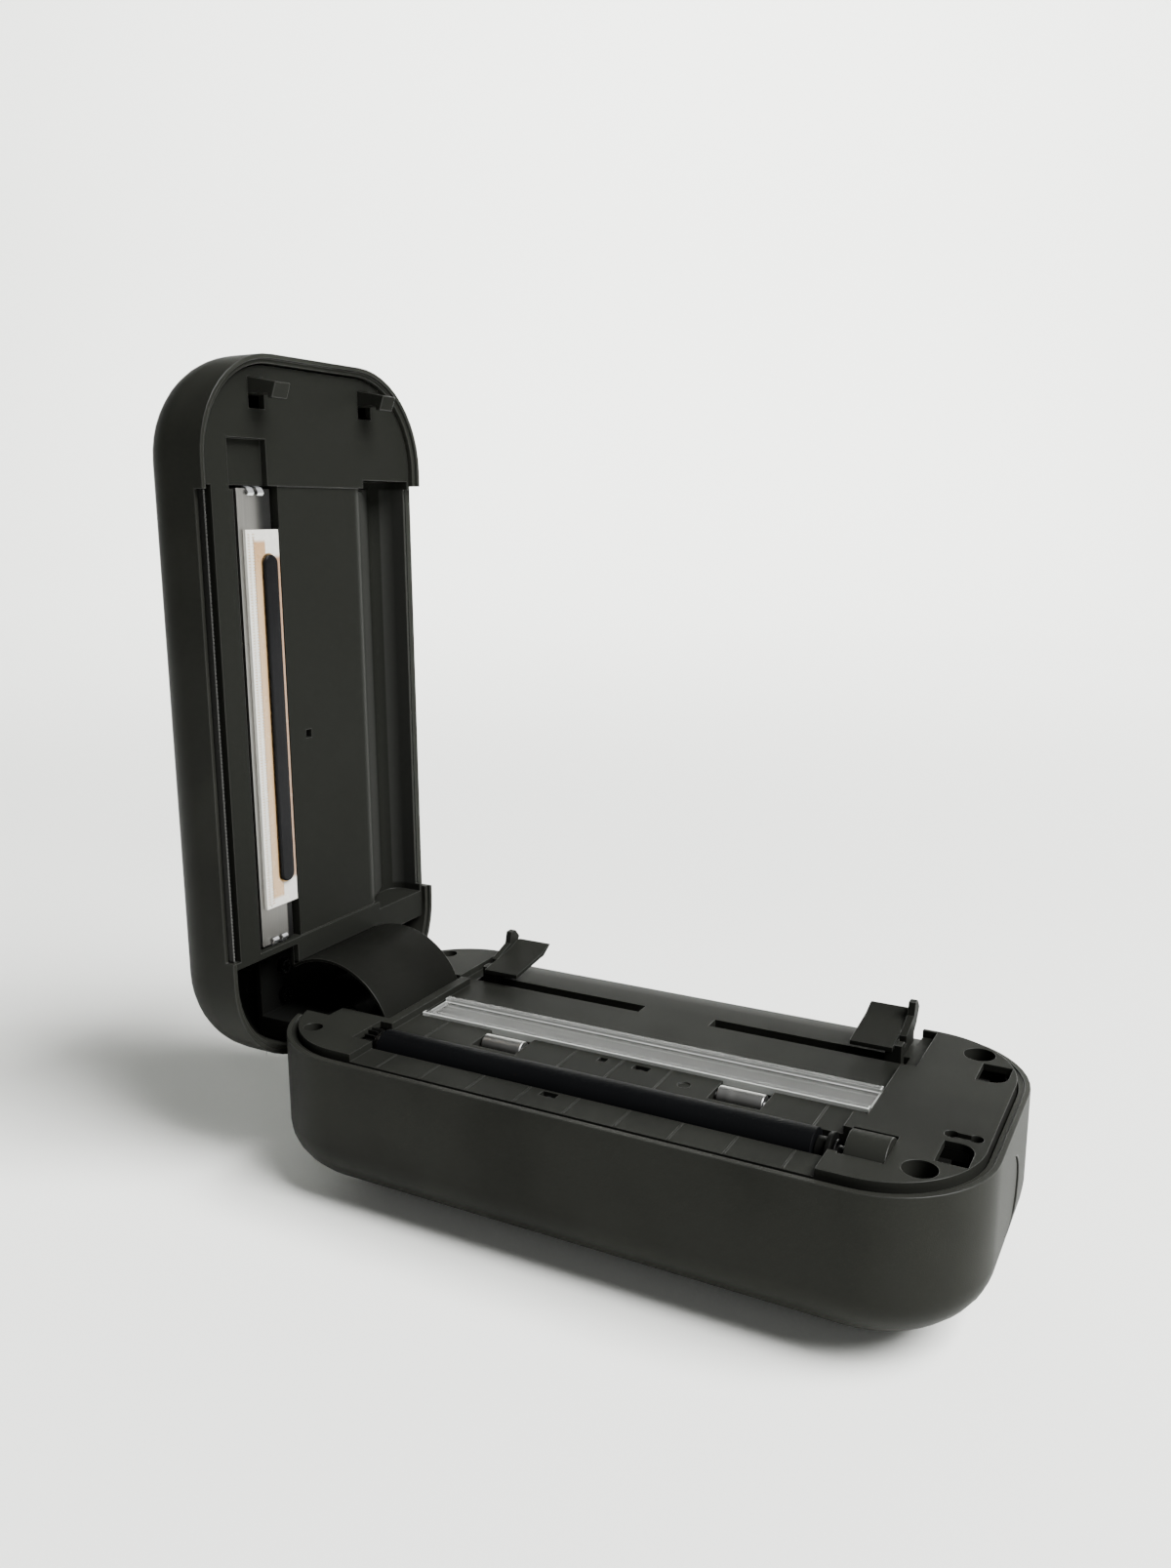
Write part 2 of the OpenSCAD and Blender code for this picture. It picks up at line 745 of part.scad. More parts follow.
// Pocket that a latch hook drops into: a rectangle with one round corner
module hook_pocket(s) {
    translate([pocket_x, s * hook_y, block_under - over]) linear_extrude(block_t + 2 * over)
        difference() {
            square([pocket_len, pocket_w], center = true);
            translate([pocket_len / 2 - pocket_r, -s * (pocket_w / 2 - pocket_r)])
                difference() {
                    translate([0, s > 0 ? -pocket_w : 0]) square([pocket_w, pocket_w]);
                    circle(pocket_r);
                }
        }
}
pocket_len = 7.5;
pocket_w = 10.6;
pocket_r = 4;
pocket_shift = 1;
pocket_x = hook_x - pocket_shift;

// Small slot with two round ends in the latch block
module key_slot() {
    for (s = [-1, 1]) rod_z(block_under - over, block_z + over, key_x + s * key_half, key_y, key_d);
    block(key_x - key_half, key_x + key_half, key_y - key_d / 3, key_y + key_d / 3,
        block_under - over, block_z + over);
}
key_in = 9.6;
key_x = half_len - key_in;
key_y = -14.2;
key_d = 3.4;
key_half = 2.8;

// Opening round the knuckles and under the curved cover
module hinge_opening() {
    block(-half_len, hinge_x + knuckle_d / 2 + cover_gap, -notch_half, notch_half, -over,
        block_z + over);
    block(-half_len, hinge_x + sqrt(pow(cover_r + cover_t / 2, 2) - pow(deck_under - hinge_z, 2))
        + cover_gap, -cover_half - cover_gap, cover_half + cover_gap, -over, block_z + over);
}

// Pan-head screws in the wells
module deck_screws() color(zinc) {
    for (p = deck_screw_places) screw(p[0], p[1], block_z - well_deep);
}
module screw(x, y, z) {
    difference() {
        rod_z(z, z + screw_head_h, x, y, screw_head);
        block(x - screw_head / 3, x + screw_head / 3, y - drive_w / 2, y + drive_w / 2,
            z + screw_head_h / 2, z + 2 * screw_head_h);
        block(x - drive_w / 2, x + drive_w / 2, y - screw_head / 3, y + screw_head / 3,
            z + screw_head_h / 2, z + 2 * screw_head_h);
    }
    rod_z(z - screw_len, z, x, y, screw_d);
}
screw_len = 8;
drive_w = 0.7;

// Middle knuckle of the hinge on its leg
module hinge_bracket() color(frame_black) {
    difference() {
        union() {
            rod_y(-middle_half, middle_half, hinge_x, hinge_z, knuckle_d);
            block(hinge_x - leg_back, hinge_x + knuckle_leg, -middle_half, middle_half,
                bracket_z, hinge_z);
        }
        rod_y(-middle_half - over, middle_half + over, hinge_x, hinge_z, hinge_pin_d + 2 * fit);
    }
}

module hinge_pin() color(steel) {
    rod_y(-hinge_half, hinge_half, hinge_x, hinge_z, hinge_pin_d);
}

// Steel side plate that carries the motor, the idler's stud and the left bush
module gear_plate() color(zinc) {
    difference() {
        along_x(plate_x - plate_t, plate_x) {
            patch(motor_y - plate_half, motor_y + plate_half, plate_low, deck_under);
            patch(platen_y - plate_neck, platen_y + plate_neck, deck_under, platen_z);
            translate([platen_y, platen_z]) circle(plate_neck);
        }
        rod_x(plate_x - 2 * plate_t, plate_x + over, platen_y, platen_z, left_bush_d + 2 * fit);
        rod_x(plate_x - 2 * plate_t, plate_x + over, idler_y, idler_z, stud_d + 2 * fit);
        rod_x(plate_x - 2 * plate_t, plate_x + over, motor_y, motor_z, motor_boss + 2 * fit);
    }
}
plate_half = 9.2;
plate_neck = 4.6;
left_bush_d = 6.6;
motor_boss = 5;
plate_margin = 3;
plate_low = motor_z - motor_boss / 2 - plate_margin;

module drive_motor() color(steel) {
    difference() {
        union() {
            rod_x(plate_x, plate_x + motor_len, motor_y, motor_z, motor_d);
            rod_x(plate_x - plate_t, plate_x, motor_y, motor_z, motor_boss);
        }
        rod_x(plate_x - 2 * plate_t, plate_x + motor_len / 2, motor_y, motor_z,
            motor_shaft_d + 2 * fit);
    }
}

module idler_stud() color(steel) {
    rod_x(gear_x - gear_w, plate_x, idler_y, idler_z, stud_d);
}

module platen_bushes() color(brass) {
    difference() {
        union() {
            rod_x(plate_x - plate_t - bush_flange, plate_x, platen_y, platen_z, left_bush_d);
            rod_x(bush_x, bush_x + bush_len, platen_y, platen_z, bush_d);
        }
        rod_x(-half_len, half_len, platen_y, platen_z, shaft_d + 2 * fit);
    }
}
bush_flange = 0.2;

// Half-round cap over the right bush
module bearing_cap() color(frame_black) {
    difference() {
        rod_x(cap_x + fit, cap_x + cap_len - fit, platen_y, platen_z, 2 * (cap_r - fit));
        block(cap_x - over, cap_x + cap_len + over, platen_y - 2 * cap_r, platen_y + 2 * cap_r,
            platen_z - 2 * cap_r, platen_z);
        rod_x(bush_x - over, bush_x + bush_len + fit, platen_y, platen_z, bush_d + 2 * fit);
        rod_x(cap_x - over, shaft_right + pass_gap, platen_y, platen_z, shaft_d + 2 * pass_gap);
    }
}

// Clear strip with a thicker lip along each edge
module clear_bar() color(clear_grey) {
    z0 = deck_z + clear_up - clear_t;
    y0 = clear_y - clear_w / 2;
    y1 = clear_y + clear_w / 2;
    along_x(-clear_len / 2, clear_len / 2) {
        patch(y0, y1, z0, z0 + clear_web);
        patch(y0, y0 + clear_lip, z0, z0 + clear_t);
        patch(y1 - clear_lip, y1, z0, z0 + clear_t);
    }
}

module roller_axles() color(steel) {
    for (s = [-1, 1])
        rod_x(s * pinch_x - axle_half + fit, s * pinch_x + axle_half - fit, pinch_y, pinch_z,
            axle_d);
}

module pinch_roller(s) color(steel) {
    difference() {
        rod_x(s * pinch_x - pinch_len / 2, s * pinch_x + pinch_len / 2, pinch_y, pinch_z, pinch_d);
        rod_x(s * pinch_x - pinch_len, s * pinch_x + pinch_len, pinch_y, pinch_z,
            axle_d + 2 * fit);
    }
}
module pinch_roller_left() { pinch_roller(-1); }
module pinch_roller_right() { pinch_roller(1); }

// Optical sensors under their windows
module paper_sensors() color(rubber_black) {
    x2 = sensor_x + sensor_second;
    block(sensor_x - sensor_wide / 2, x2 + sensor_wide / 2, sensor_y - sensor_small,
        sensor_y + sensor_small, deck_under - sensor_h, deck_under);
    block(sensor_front_x - sensor_wide / 2, sensor_front_x + sensor_wide / 2,
        sensor_front_y - sensor_small / 2, sensor_front_y + sensor_small / 2,
        deck_under - sensor_h, deck_under);
}
sensor_h = 3;

// Channel under the deck that carries both racks and the pinion's stud
module guide_track() color(frame_black) {
    y0 = slot_y - pinion_pitch - rack_back - pass_gap;
    y1 = slot_y + pinion_pitch + rack_back + pass_gap;
    z0 = rack_top - rack_t - pass_gap;
    block(-track_len / 2, track_len / 2, y0 - track_wall, y1 + track_wall, z0 - track_t, z0);
    for (y = [y0 - track_wall, y1])
        block(-track_len / 2, track_len / 2, y, y + track_wall, z0, deck_under);
    rod_z(z0, rack_top, 0, slot_y, pinion_stud_d);
}

// Board with a tab that carries the charging port to the back wall
module main_board() color(board_green) {
    difference() {
        translate([0, 0, board_z]) linear_extrude(board_t) {
            translate([board_x0, -board_half]) square([board_x1 - board_x0, 2 * board_half]);
            translate([port_x - tab_w / 2, 0]) square([tab_w, half_w - base_wall - pass_gap]);
        }
        for (p = board_places)
            rod_z(board_z - over, board_z + board_t + over, p[0], p[1], screw_d + 2 * fit);
    }
}
tab_w = 16;

// Chips, coil and connectors on the board: place, size and height from the board's corner
module board_parts() color(rubber_black) {
    for (p = board_part_table)
        translate([board_x0 + p[0], p[1] - p[3] / 2, board_z + board_t]) cube([p[2], p[3], p[4]]);
}
chip_h = 1.4;
tall_h = 4;
board_part_table = [[22, 0, 14, 14, chip_h], [42, 8, 9, 7, chip_h], [42, -9, 9, 7, chip_h],
    [60, 0, 10, 10, tall_h], [4, 6, 5, 12, tall_h], [4, -9, 5, 10, tall_h],
    [78, -9, 5, 12, tall_h]];

module charge_port() color(steel) {
    y0 = half_w - base_wall - port_deep;
    y1 = half_w - button_sink;
    difference() {
        port_tube(y0, y1, 0);
        port_tube(y0 + port_skin, y1 + over, port_skin);
    }
    block(port_x - port_w / 3, port_x + port_w / 3, y0, y1 - port_skin,
        port_z - port_skin, port_z + port_skin);
}
module port_tube(y0, y1, inset) {
    d = port_h - 2 * inset;
    reach = (port_w - port_h) / 2;
    for (s = [-1, 1]) rod_y(y0, y1, port_x + s * reach, port_z, d);
    block(port_x - reach, port_x + reach, y0, y1, port_z - d / 2, port_z + d / 2);
}
port_deep = 4.4;
port_skin = 0.3;

module battery_cells() color(cell_blue) {
    for (s = [-1, 1])
        rod_x(cell_x - cell_len / 2, cell_x + cell_len / 2, s * cell_pitch / 2, cell_z, cell_d);
}

// Cradle with two round beds for the cells
module battery_cradle() color(frame_black) {
    difference() {
        block(cell_x - cell_len / 2 - cradle_end, cell_x + cell_len / 2 + cradle_end,
            -cell_pitch + pass_gap, cell_pitch - pass_gap, floor_z, cell_z);
        for (s = [-1, 1])
            rod_x(cell_x - cell_len / 2 - fit, cell_x + cell_len / 2 + fit, s * cell_pitch / 2,
                cell_z, cell_d + 2 * fit);
    }
}
cradle_end = 2;

// Bracket that holds the latch slider up under the block
module latch_retainer() color(frame_black) {
    x0 = slider_back + slider_arm + 2 * pass_gap;
    x1 = hook_x;
    difference() {
        union() {
            block(x0, x1, -retainer_half, retainer_half, catch_z - fit - retainer_t,
                catch_z - fit);
            for (s = [-1, 1])
                block(x0, x1, s > 0 ? retainer_half - retainer_t : -retainer_half,
                    s > 0 ? retainer_half : -retainer_half + retainer_t, catch_z - fit,
                    block_under);
        }
        block(x0 - over, x1 + over, -stem_d / 2 - 2 * pass_gap, stem_d / 2 + 2 * pass_gap,
            0, catch_z);
    }
}
slider_arm = 4;
retainer_half = 13.2;

// Slider with two catches, pushed towards the latch end by its springs
module latch_slider() color(gear_white) {
    block(slider_back, slider_back + slider_arm, -hook_y - hook_w / 2 - pass_gap, hook_y
        + hook_w / 2 + pass_gap, catch_z, catch_z + catch_t);
    for (s = [-1, 1])
        block(slider_back, catch_tip, s * hook_y - hook_w / 2 - pass_gap,
            s * hook_y + hook_w / 2 + pass_gap, catch_z, catch_z + catch_t);
    block(slider_back, catch_tip, -spring_y - latch_spring_d / 2, spring_y + latch_spring_d / 2,
        catch_z, catch_z + catch_t);
    block(stem_x - stem_d / 2, stem_x + stem_d / 2, -stem_d / 2, stem_d / 2, button_z,
        catch_z + catch_t);
    rod_x(stem_x, half_len - button_sink - button_t, 0, button_z, stem_d);
}
stem_in = 4.9;
stem_x = hook_x - stem_in;

module release_button() color(case_black) {
    x1 = half_len - button_sink;
    rod_x(x1 - button_t, x1, 0, button_z, button_d);
}

// Points along a coil whose ends run straight for one wire
function coil_point(t, turns, mean_r, length, wire) =
    let (a = 360 * turns * t, z = wire + (length - 2 * wire) * t)
    [mean_r * cos(a), mean_r * sin(a), z];
function coil_path(turns, mean_r, length, wire) = [for (k = [0:coil_rings * turns])
    coil_point(k / (coil_rings * turns), turns, mean_r, length, wire)];
function unit(v) = v / norm(v);
coil_rings = 8;
coil_sides = 6;

// One unbroken round wire swept along a coil, with a stub at each end square to its seat
module coil(turns, mean_r, length, wire) {
    path = coil_path(turns, mean_r, length, wire);
    last = len(path) - 1;
    spine = concat([[path[0][0], path[0][1], 0]], path, [[path[last][0], path[last][1], length]]);
    rings = [for (i = [0:len(spine) - 1]) let (
        low = max(i - 1, 0), high = min(i + 1, len(spine) - 1),
        way = i == 0 || i == len(spine) - 1 ? [0, 0, 1] : unit(spine[high] - spine[low]),
        side = unit([spine[i][0], spine[i][1], 0]), up = unit(cross(way, side)),
        out = cross(up, way))
        [for (k = [0:coil_sides - 1]) let (a = 360 * k / coil_sides)
            spine[i] + wire / 2 * (cos(a) * out + sin(a) * up)]];
    n = coil_sides;
    m = len(rings);
    polyhedron(points = [for (r = rings) each r], faces = concat(
        [[for (k = [n - 1:-1:0]) k]], [[for (k = [0:n - 1]) (m - 1) * n + k]],
        [for (i = [0:m - 2], k = [0:n - 1]) let (j = (k + 1) % n) each
            [[i * n + k, i * n + j, (i + 1) * n + j], [i * n + k, (i + 1) * n + j, (i + 1) * n + k]]]));
}

latch_spring_len = slider_back - spring_seat_x;
latch_turns = 5;
module latch_springs() color(steel) {
    for (s = [-1, 1]) translate([spring_seat_x, s * spring_y, catch_z + catch_t / 2])
        rotate([0, 90, 0]) coil(latch_turns, (latch_spring_d - spring_wire) / 2,
            latch_spring_len, spring_wire);
}

// Platen roller
module platen_shaft() color(steel) {
    rod_x(gear_x - gear_w, shaft_right, platen_y, platen_z, shaft_d);
}
module platen_rubber() color(rubber_black) {
    difference() {
        rod_x(-rubber_left, rubber_right, platen_y, platen_z, platen_d);
        rod_x(-half_len, half_len, platen_y, platen_z, shaft_d);
    }
}
module platen_collar() color(frame_black) {
    difference() {
        union() {
            rod_x(collar_x, collar_x + collar_w, platen_y, platen_z, neck_d);
            rod_x(collar_x + collar_w, collar_x + collar_w + flange_w, platen_y, platen_z,
                platen_d - flange_less);
        }
        rod_x(-half_len, half_len, platen_y, platen_z, shaft_d);
    }
}
module shaft_clip() color(steel) {
    difference() {
        rod_x(clip_x, clip_x + clip_t, platen_y, platen_z, neck_d);
        rod_x(-half_len, half_len, platen_y, platen_z, shaft_d);
    }
}
clip_t = 0.6;
clip_x = collar_x + collar_w + flange_w + collar_gap;

// Spur gear outline with straight-sided teeth
function gear_points(teeth, size, phase) = [for (k = [0:teeth - 1], q = tooth_corner_shares)
    let (a = phase + 360 * (k + q[0]) / teeth, r = size * (teeth / 2 + q[1]))
    [r * cos(a), r * sin(a)]];
tooth_corner_shares = [[-0.31, -1.25], [-0.1, 0.92], [0.1, 0.92], [0.31, -1.25]];

module gear(teeth, phase, y, z, bore) {
    translate([gear_x - gear_w, y, z]) rotate([90, 0, 90]) linear_extrude(gear_w)
        difference() {
            polygon(gear_points(teeth, gear_module, phase));
            circle(d = bore);
        }
}
module platen_gear() color(gear_white) { gear(platen_teeth, 0, platen_y, platen_z, shaft_d); }
module idler_gear() color(gear_white) {
    gear(idler_teeth, idler_phase, idler_y, idler_z, stud_d + 2 * fit);
}
module motor_pinion() color(brass) {
    gear(motor_teeth, motor_phase, motor_y, motor_z, motor_shaft_d);
    rod_x(gear_x - gear_w, plate_x + motor_len / 3, motor_y, motor_z, motor_shaft_d);
}

// Paper guides: a fence, a hold-down flap that rises to the back, and a foot in the slot
foot_deep = 3.8;
fence_front = slot_y + slot_w / 2 - foot_deep;
fence_reach = 12.8;
flap_lead = 3.4;
bend_reach = 12.1;
flap_reach = 18;
tip_reach = 15.6;
waist_reach = 4.1;
fence_back = slot_y + fence_reach;
flap_front = slot_y - flap_lead;
flap_bend = slot_y + bend_reach;
flap_back = slot_y + flap_reach;
tip_y = slot_y + tip_reach;
fence_waist = slot_y + waist_reach;
fence_step_up = 2;
flap_low_up = 3.1;
flap_mid_up = 5.2;
flap_high_up = 8;
tip_up = 11.6;
tip_thick = 1;
flap_low = deck_z + flap_low_up;
flap_mid = deck_z + flap_mid_up;
flap_high = deck_z + flap_high_up;
tip_z = deck_z + tip_up;

module guide_left_shape() {
    x0 = -fence_x - fence_t;
    along_x(x0, -fence_x) fence_section();
    along_x(-fence_x, -fence_x + flap_w) flap_section();
    block(x0, x0 + foot_w, fence_front, slot_y + slot_w / 2 - pass_gap, rack_top,
        flap_low + flap_t);
}
module fence_section() {
    polygon([[fence_front, deck_z + pass_gap], [fence_front, deck_z + fence_step_up], [fence_waist,
        flap_low], [fence_waist, flap_mid], [flap_bend, flap_high], [flap_bend + tip_thick, tip_z],
        [tip_y, tip_z], [flap_back, flap_high + tip_thick], [tip_y, flap_mid], [fence_back, flap_low],
        [fence_back, deck_z + pass_gap]]);
}
module flap_section() {
    polygon([[flap_front, flap_low], [flap_front, flap_low + flap_t], [flap_bend, flap_mid
        + flap_t], [flap_back - flap_t, flap_high], [flap_back, flap_high], [flap_bend
        + flap_t, flap_mid], [flap_bend, flap_mid]]);
}

// Rack bar with straight-sided teeth along the edge that faces the pinion
function rack_points(x0, x1) = concat([[x1, rack_back + pinion_pitch], [x0, rack_back
    + pinion_pitch], [x0, pinion_pitch + root_share * rack_module]],
    [for (k = [ceil(x0 / rack_pitch + 0.5):floor(x1 / rack_pitch - 0.5)], q = rack_corner_shares)
        [(k + q[0]) * rack_pitch, pinion_pitch + q[1] * rack_module]],
    [[x1, pinion_pitch + root_share * rack_module]]);
rack_pitch = PI * rack_module;
root_share = 1.25;
rack_corner_shares = [[-0.35, 1.25], [-0.1, -0.85], [0.1, -0.85], [0.35, 1.25]];

module guide_rack_left_shape() {
    x0 = -fence_x - fence_t;
    translate([0, slot_y, rack_top - rack_t]) linear_extrude(rack_t) polygon(rack_points(x0,
        rack_past));
    block(x0, x0 + foot_w, fence_front, slot_y + pinion_pitch + rack_back, rack_top - rack_t,
        rack_top);
}

// The right guide is the left one turned half round, with its fence and flap facing back
module guide_right_side() {
    mirror([1, 0, 0]) children();
}
module paper_guide_left() color(frame_black) { guide_left_shape(); }
module paper_guide_right() color(frame_black) { guide_right_side() guide_left_shape(); }
module guide_rack_left() color(frame_black) { guide_rack_left_shape(); }
module guide_rack_right() color(frame_black) {
    x0 = fence_x + fence_t;
    translate([0, slot_y, rack_top - rack_t]) rotate([0, 0, 180]) linear_extrude(rack_t)
        polygon(rack_points(-x0, rack_past));
    block(x0 - foot_w, x0, slot_y - pinion_pitch - rack_back, slot_y + slot_w / 2 - pass_gap,
        rack_top - rack_t, rack_top);
}
module guide_pinion() color(gear_white) {
    translate([0, slot_y, rack_top - rack_t]) linear_extrude(rack_t) difference() {
        polygon(gear_points(pinion_teeth, rack_module, 90 + 180 / pinion_teeth));
        circle(d = pinion_stud_d + 2 * fit);
    }
}

// Room swept by the base's rim corners beside the notch as the lid turns
module rim_sweep() {
    steps = 10;
    flat = half_w - plan_r;
    first = asin((notch_half - pass_gap - flat) / plan_r);
    last = acos(1 - hinge_in / plan_r);
    edge = [for (k = [0:steps]) let (a = first + (last - first) * k / steps,
        dx = hinge_in - plan_r * (1 - cos(a)))
        [sqrt(dx * dx + hinge_down * hinge_down) + pass_gap, flat + plan_r * sin(a)]];
    for (s = [0, 1]) mirror([0, s, 0]) translate([hinge_x, 0, hinge_z]) rotate([-90, 0, 0])
        rotate_extrude($fn = 64)
            polygon(concat([[0, edge[0][1]]], edge, [[0, edge[steps][1]]]));
}

module lid_shell() color(case_black) open_lid() {
    difference() {
        skin(lid_rings(0, lid_rim, lid_top));
        skin(lid_rings(lid_wall, lid_rim - over, lid_under));
        block(-exit_half, exit_half, -half_w - over, -half_w + 2 * lid_wall, base_h - over,
            lid_rim + wall_cut);
        block(-inlet_half, inlet_half, half_w - 2 * lid_wall, half_w + over, base_h - over,
            inlet_top);
        rim_sweep();
        translate([0, 0, lid_rim - over]) linear_extrude(lid_step + over)
            round_rect(body_len - lid_wall, body_w - lid_wall, plan_r - lid_wall / 2);
        rod_z(lid_under - over, lid_top + over, power_x, 0, power_d + 2 * pass_gap);
        for (s = [-1, 0, 1])
            rod_z(lid_under - over, lid_top + over, light_x, s * light_pitch, light_d);
    }
    for (p = lid_post_places) difference() {
        intersection() {
            rod_z(p[2], lid_under + lid_wall / 2, p[0], p[1], post_d);
            skin(lid_rings(lid_wall / 2, lid_rim - over, lid_under + lid_wall / 2));
        }
        rod_z(p[2] - over, p[2] + screw_len - leaf_t + pass_gap, p[0], p[1], screw_d + 2 * fit);
    }
}
light_in = 12;
light_x = power_x - light_in;
light_d = 1.6;
light_pitch = 3.4;
leaf_z = 58;
leaf_t = 2;
button_board_z = 64.2;
leaf_screw_in = 14;
leaf_screw_pitch = 9;
leaf_screw_y = 15;
latch_post_in = 16.4;
latch_post_side = 17.65;
button_post = 4;
button_post_y = 9;
lid_post_places = concat([for (sx = [0, 1], sy = [-1, 1])
    [leaf_screw_in - half_len + sx * leaf_screw_pitch, sy * leaf_screw_y, leaf_z + leaf_t]],
    [for (sy = [-1, 1]) [half_len - latch_post_in, sy * (half_w - latch_post_side), face_z + face_t]],
    [[light_x + button_post, -button_post_y, button_board_z + board_t],
    [power_x + 2 * button_post, button_post_y, button_board_z + board_t]]);

// Inner frame of the lid: two end plates joined by a folded middle section
module lid_frame() color(frame_black) open_lid() {
    difference() {
        union() {
            along_x(-lid_block_x, lid_block_x) lid_section();
            lid_end_plate(1);
            lid_end_plate(-1);
            lid_channel_ends();
            cap_room_box();
        }
        lid_frame_cuts();
    }
}

// Cross-section of the lid frame, from the paper exit in front to the inlet behind
module lid_section() {
    t = lid_frame_t;
    y0 = -lid_frame_w / 2;
    y1 = lid_frame_w / 2;
    patch(y0 + exit_groove, channel_y0, face_z, face_z + t);
    patch(y0 + exit_groove, y0 + exit_groove + t, face_z, face_z + exit_groove_deep + t);
    patch(y0, y0 + exit_groove + t, face_z + exit_groove_deep, face_z + exit_groove_deep + t);
    patch(channel_y0 - t, channel_y0, face_z, channel_z + t);
    patch(channel_y0 - t, channel_y1 + t, channel_z, channel_z + t);
    patch(channel_y1, channel_y1 + t, panel_z, channel_z + t);
    patch(channel_y1, bend_y, panel_z, panel_z + t);
    recess_section(concat([[ramp_end(bend_r - t, recess_z + t), recess_z + t]],
        [for (k = [ramp_steps:-1:0]) bend_point(bend_r - t, k)],
        [for (k = [0:ramp_steps]) bend_point(bend_r, k)],
        [[ramp_end(bend_r, recess_z), recess_z]]));
}

// Round bend of the panel and the ramp that runs from it into the guides' recess
function bend_point(r, k) = let (a = ramp_angle * k / ramp_steps)
    [bend_y + r * sin(a), panel_z + bend_r - r * cos(a)];
function ramp_end(r, z) = bend_point(r, ramp_steps)[0]
    + (z - bend_point(r, ramp_steps)[1]) / tan(ramp_angle);

// Floor of the guides' recess, running in one round sweep into its thin back wall
module recess_section(front = [[bend_y, recess_z + lid_frame_t], [bend_y, recess_z]]) {
    t = lid_frame_t;
    f = recess_fillet;
    y1 = recess_back_y + recess_back_t;
    polygon(concat([[y1, inlet_top], [y1, recess_z - t / 4], [y1 - recess_slope, recess_z + t]],
        front,
        [for (k = [0:recess_steps]) let (a = 90 - 90 * k / recess_steps)
            [recess_back_y - f + f * cos(a), recess_z - f + f * sin(a)]],
        [[recess_back_y, inlet_top]]));
}
recess_steps = 8;

module lid_end_plate(s) {
    x0 = lid_block_x;
    x1 = s > 0 ? half_len : lid_block_x + strip_len;
    intersection() {
        translate([0, 0, face_z]) linear_extrude(face_t)
            round_rect(body_len - 2 * lid_frame_in, lid_frame_w, plan_r - lid_frame_in);
        block(min(s * x0, s * x1), max(s * x0, s * x1), -half_w, half_w, face_z, face_z + face_t);
    }
}

// End walls of the print head's channel and of the guides' recess
module lid_channel_ends() {
    t = lid_frame_t;
    for (s = [-1, 1]) {
        x = s > 0 ? lid_block_x : -lid_block_x - t;
        block(x, x + t, channel_y0 - t, channel_y1 + t, face_z, channel_z + t);
        along_x(s > 0 ? lid_block_x : -fence_room - t, s > 0 ? fence_room + t : -lid_block_x)
            recess_section();
        block(s > 0 ? fence_room : -fence_room - t, s > 0 ? fence_room + t : -fence_room,
            bend_y, recess_back_y, face_z, recess_z + t / 2);
        block(s > 0 ? lid_block_x : -fence_room - t, s > 0 ? fence_room + t : -lid_block_x,
            bend_y, guide_room_y, face_z, recess_z + t);
        along_x(s > 0 ? lid_block_x - t : -lid_block_x, s > 0 ? lid_block_x : t - lid_block_x)
            polygon(concat([[bend_y, recess_z + t]], [for (k = [0:ramp_steps])
                bend_point(bend_r, k)], [[ramp_end(bend_r, recess_z), recess_z],
                [ramp_end(bend_r, recess_z), recess_z + t]]));
        block(x, x + t, -lid_frame_w / 2, exit_groove + t - lid_frame_w / 2, face_z,
            face_z + exit_groove_deep + t);
    }
}

// Box over the room for the bearing cap
module cap_room_box() {
    block(lid_block_x, cap_room_x1 + face_t, cap_room_y0 - face_t, cap_room_y1 + face_t, face_z,
        cap_room_z + face_t);
}
cap_room_end = 0.6;
cap_room_gap = 0.4;
cap_room_x1 = cap_x + cap_len + cap_room_end;
cap_room_y0 = platen_y - cap_r - cap_room_gap;
cap_room_y1 = platen_y + cap_r + cap_room_gap;
cap_room_z = platen_z + cap_r + cap_room_gap;

module lid_frame_cuts() {
    block(lid_block_x - over, cap_room_x1, cap_room_y0, cap_room_y1, face_z - over, cap_room_z);
    for (s = [-1, 1])
        block(s > 0 ? lid_block_x - over : -fence_room, s > 0 ? fence_room : -lid_block_x + over,
            guide_room_y, recess_back_y, base_h, recess_z - recess_fillet);
    block(sensor_x - sensor_small / 2, sensor_x + sensor_small / 2, sensor_y - sensor_small / 2
        + lid_sensor_back, sensor_y + sensor_small / 2 + lid_sensor_back, panel_z - over,
        panel_z + lid_frame_t + over);
    for (s = [-1, 1])
        block(hook_x - hook_hole, hook_x + shank_t / 2 + fit, s * hook_y - hook_w / 2 - fit,
            s * hook_y + hook_w / 2 + fit, face_z - over, face_z + face_t + over);
    block(-half_len, cover_plate_x, -cover_half - cover_gap, cover_half + cover_gap, base_h,
        face_z + face_t + over);
    block(-half_len, -lid_block_x - lid_frame_t, -half_w, -cover_half, base_h,
        face_z + face_t + over);
}
lid_sensor_back = 3.4;
cover_plate_x = hinge_x + sqrt(pow(cover_r + cover_t / 2, 2) - pow(face_z - hinge_z, 2)) + fit;

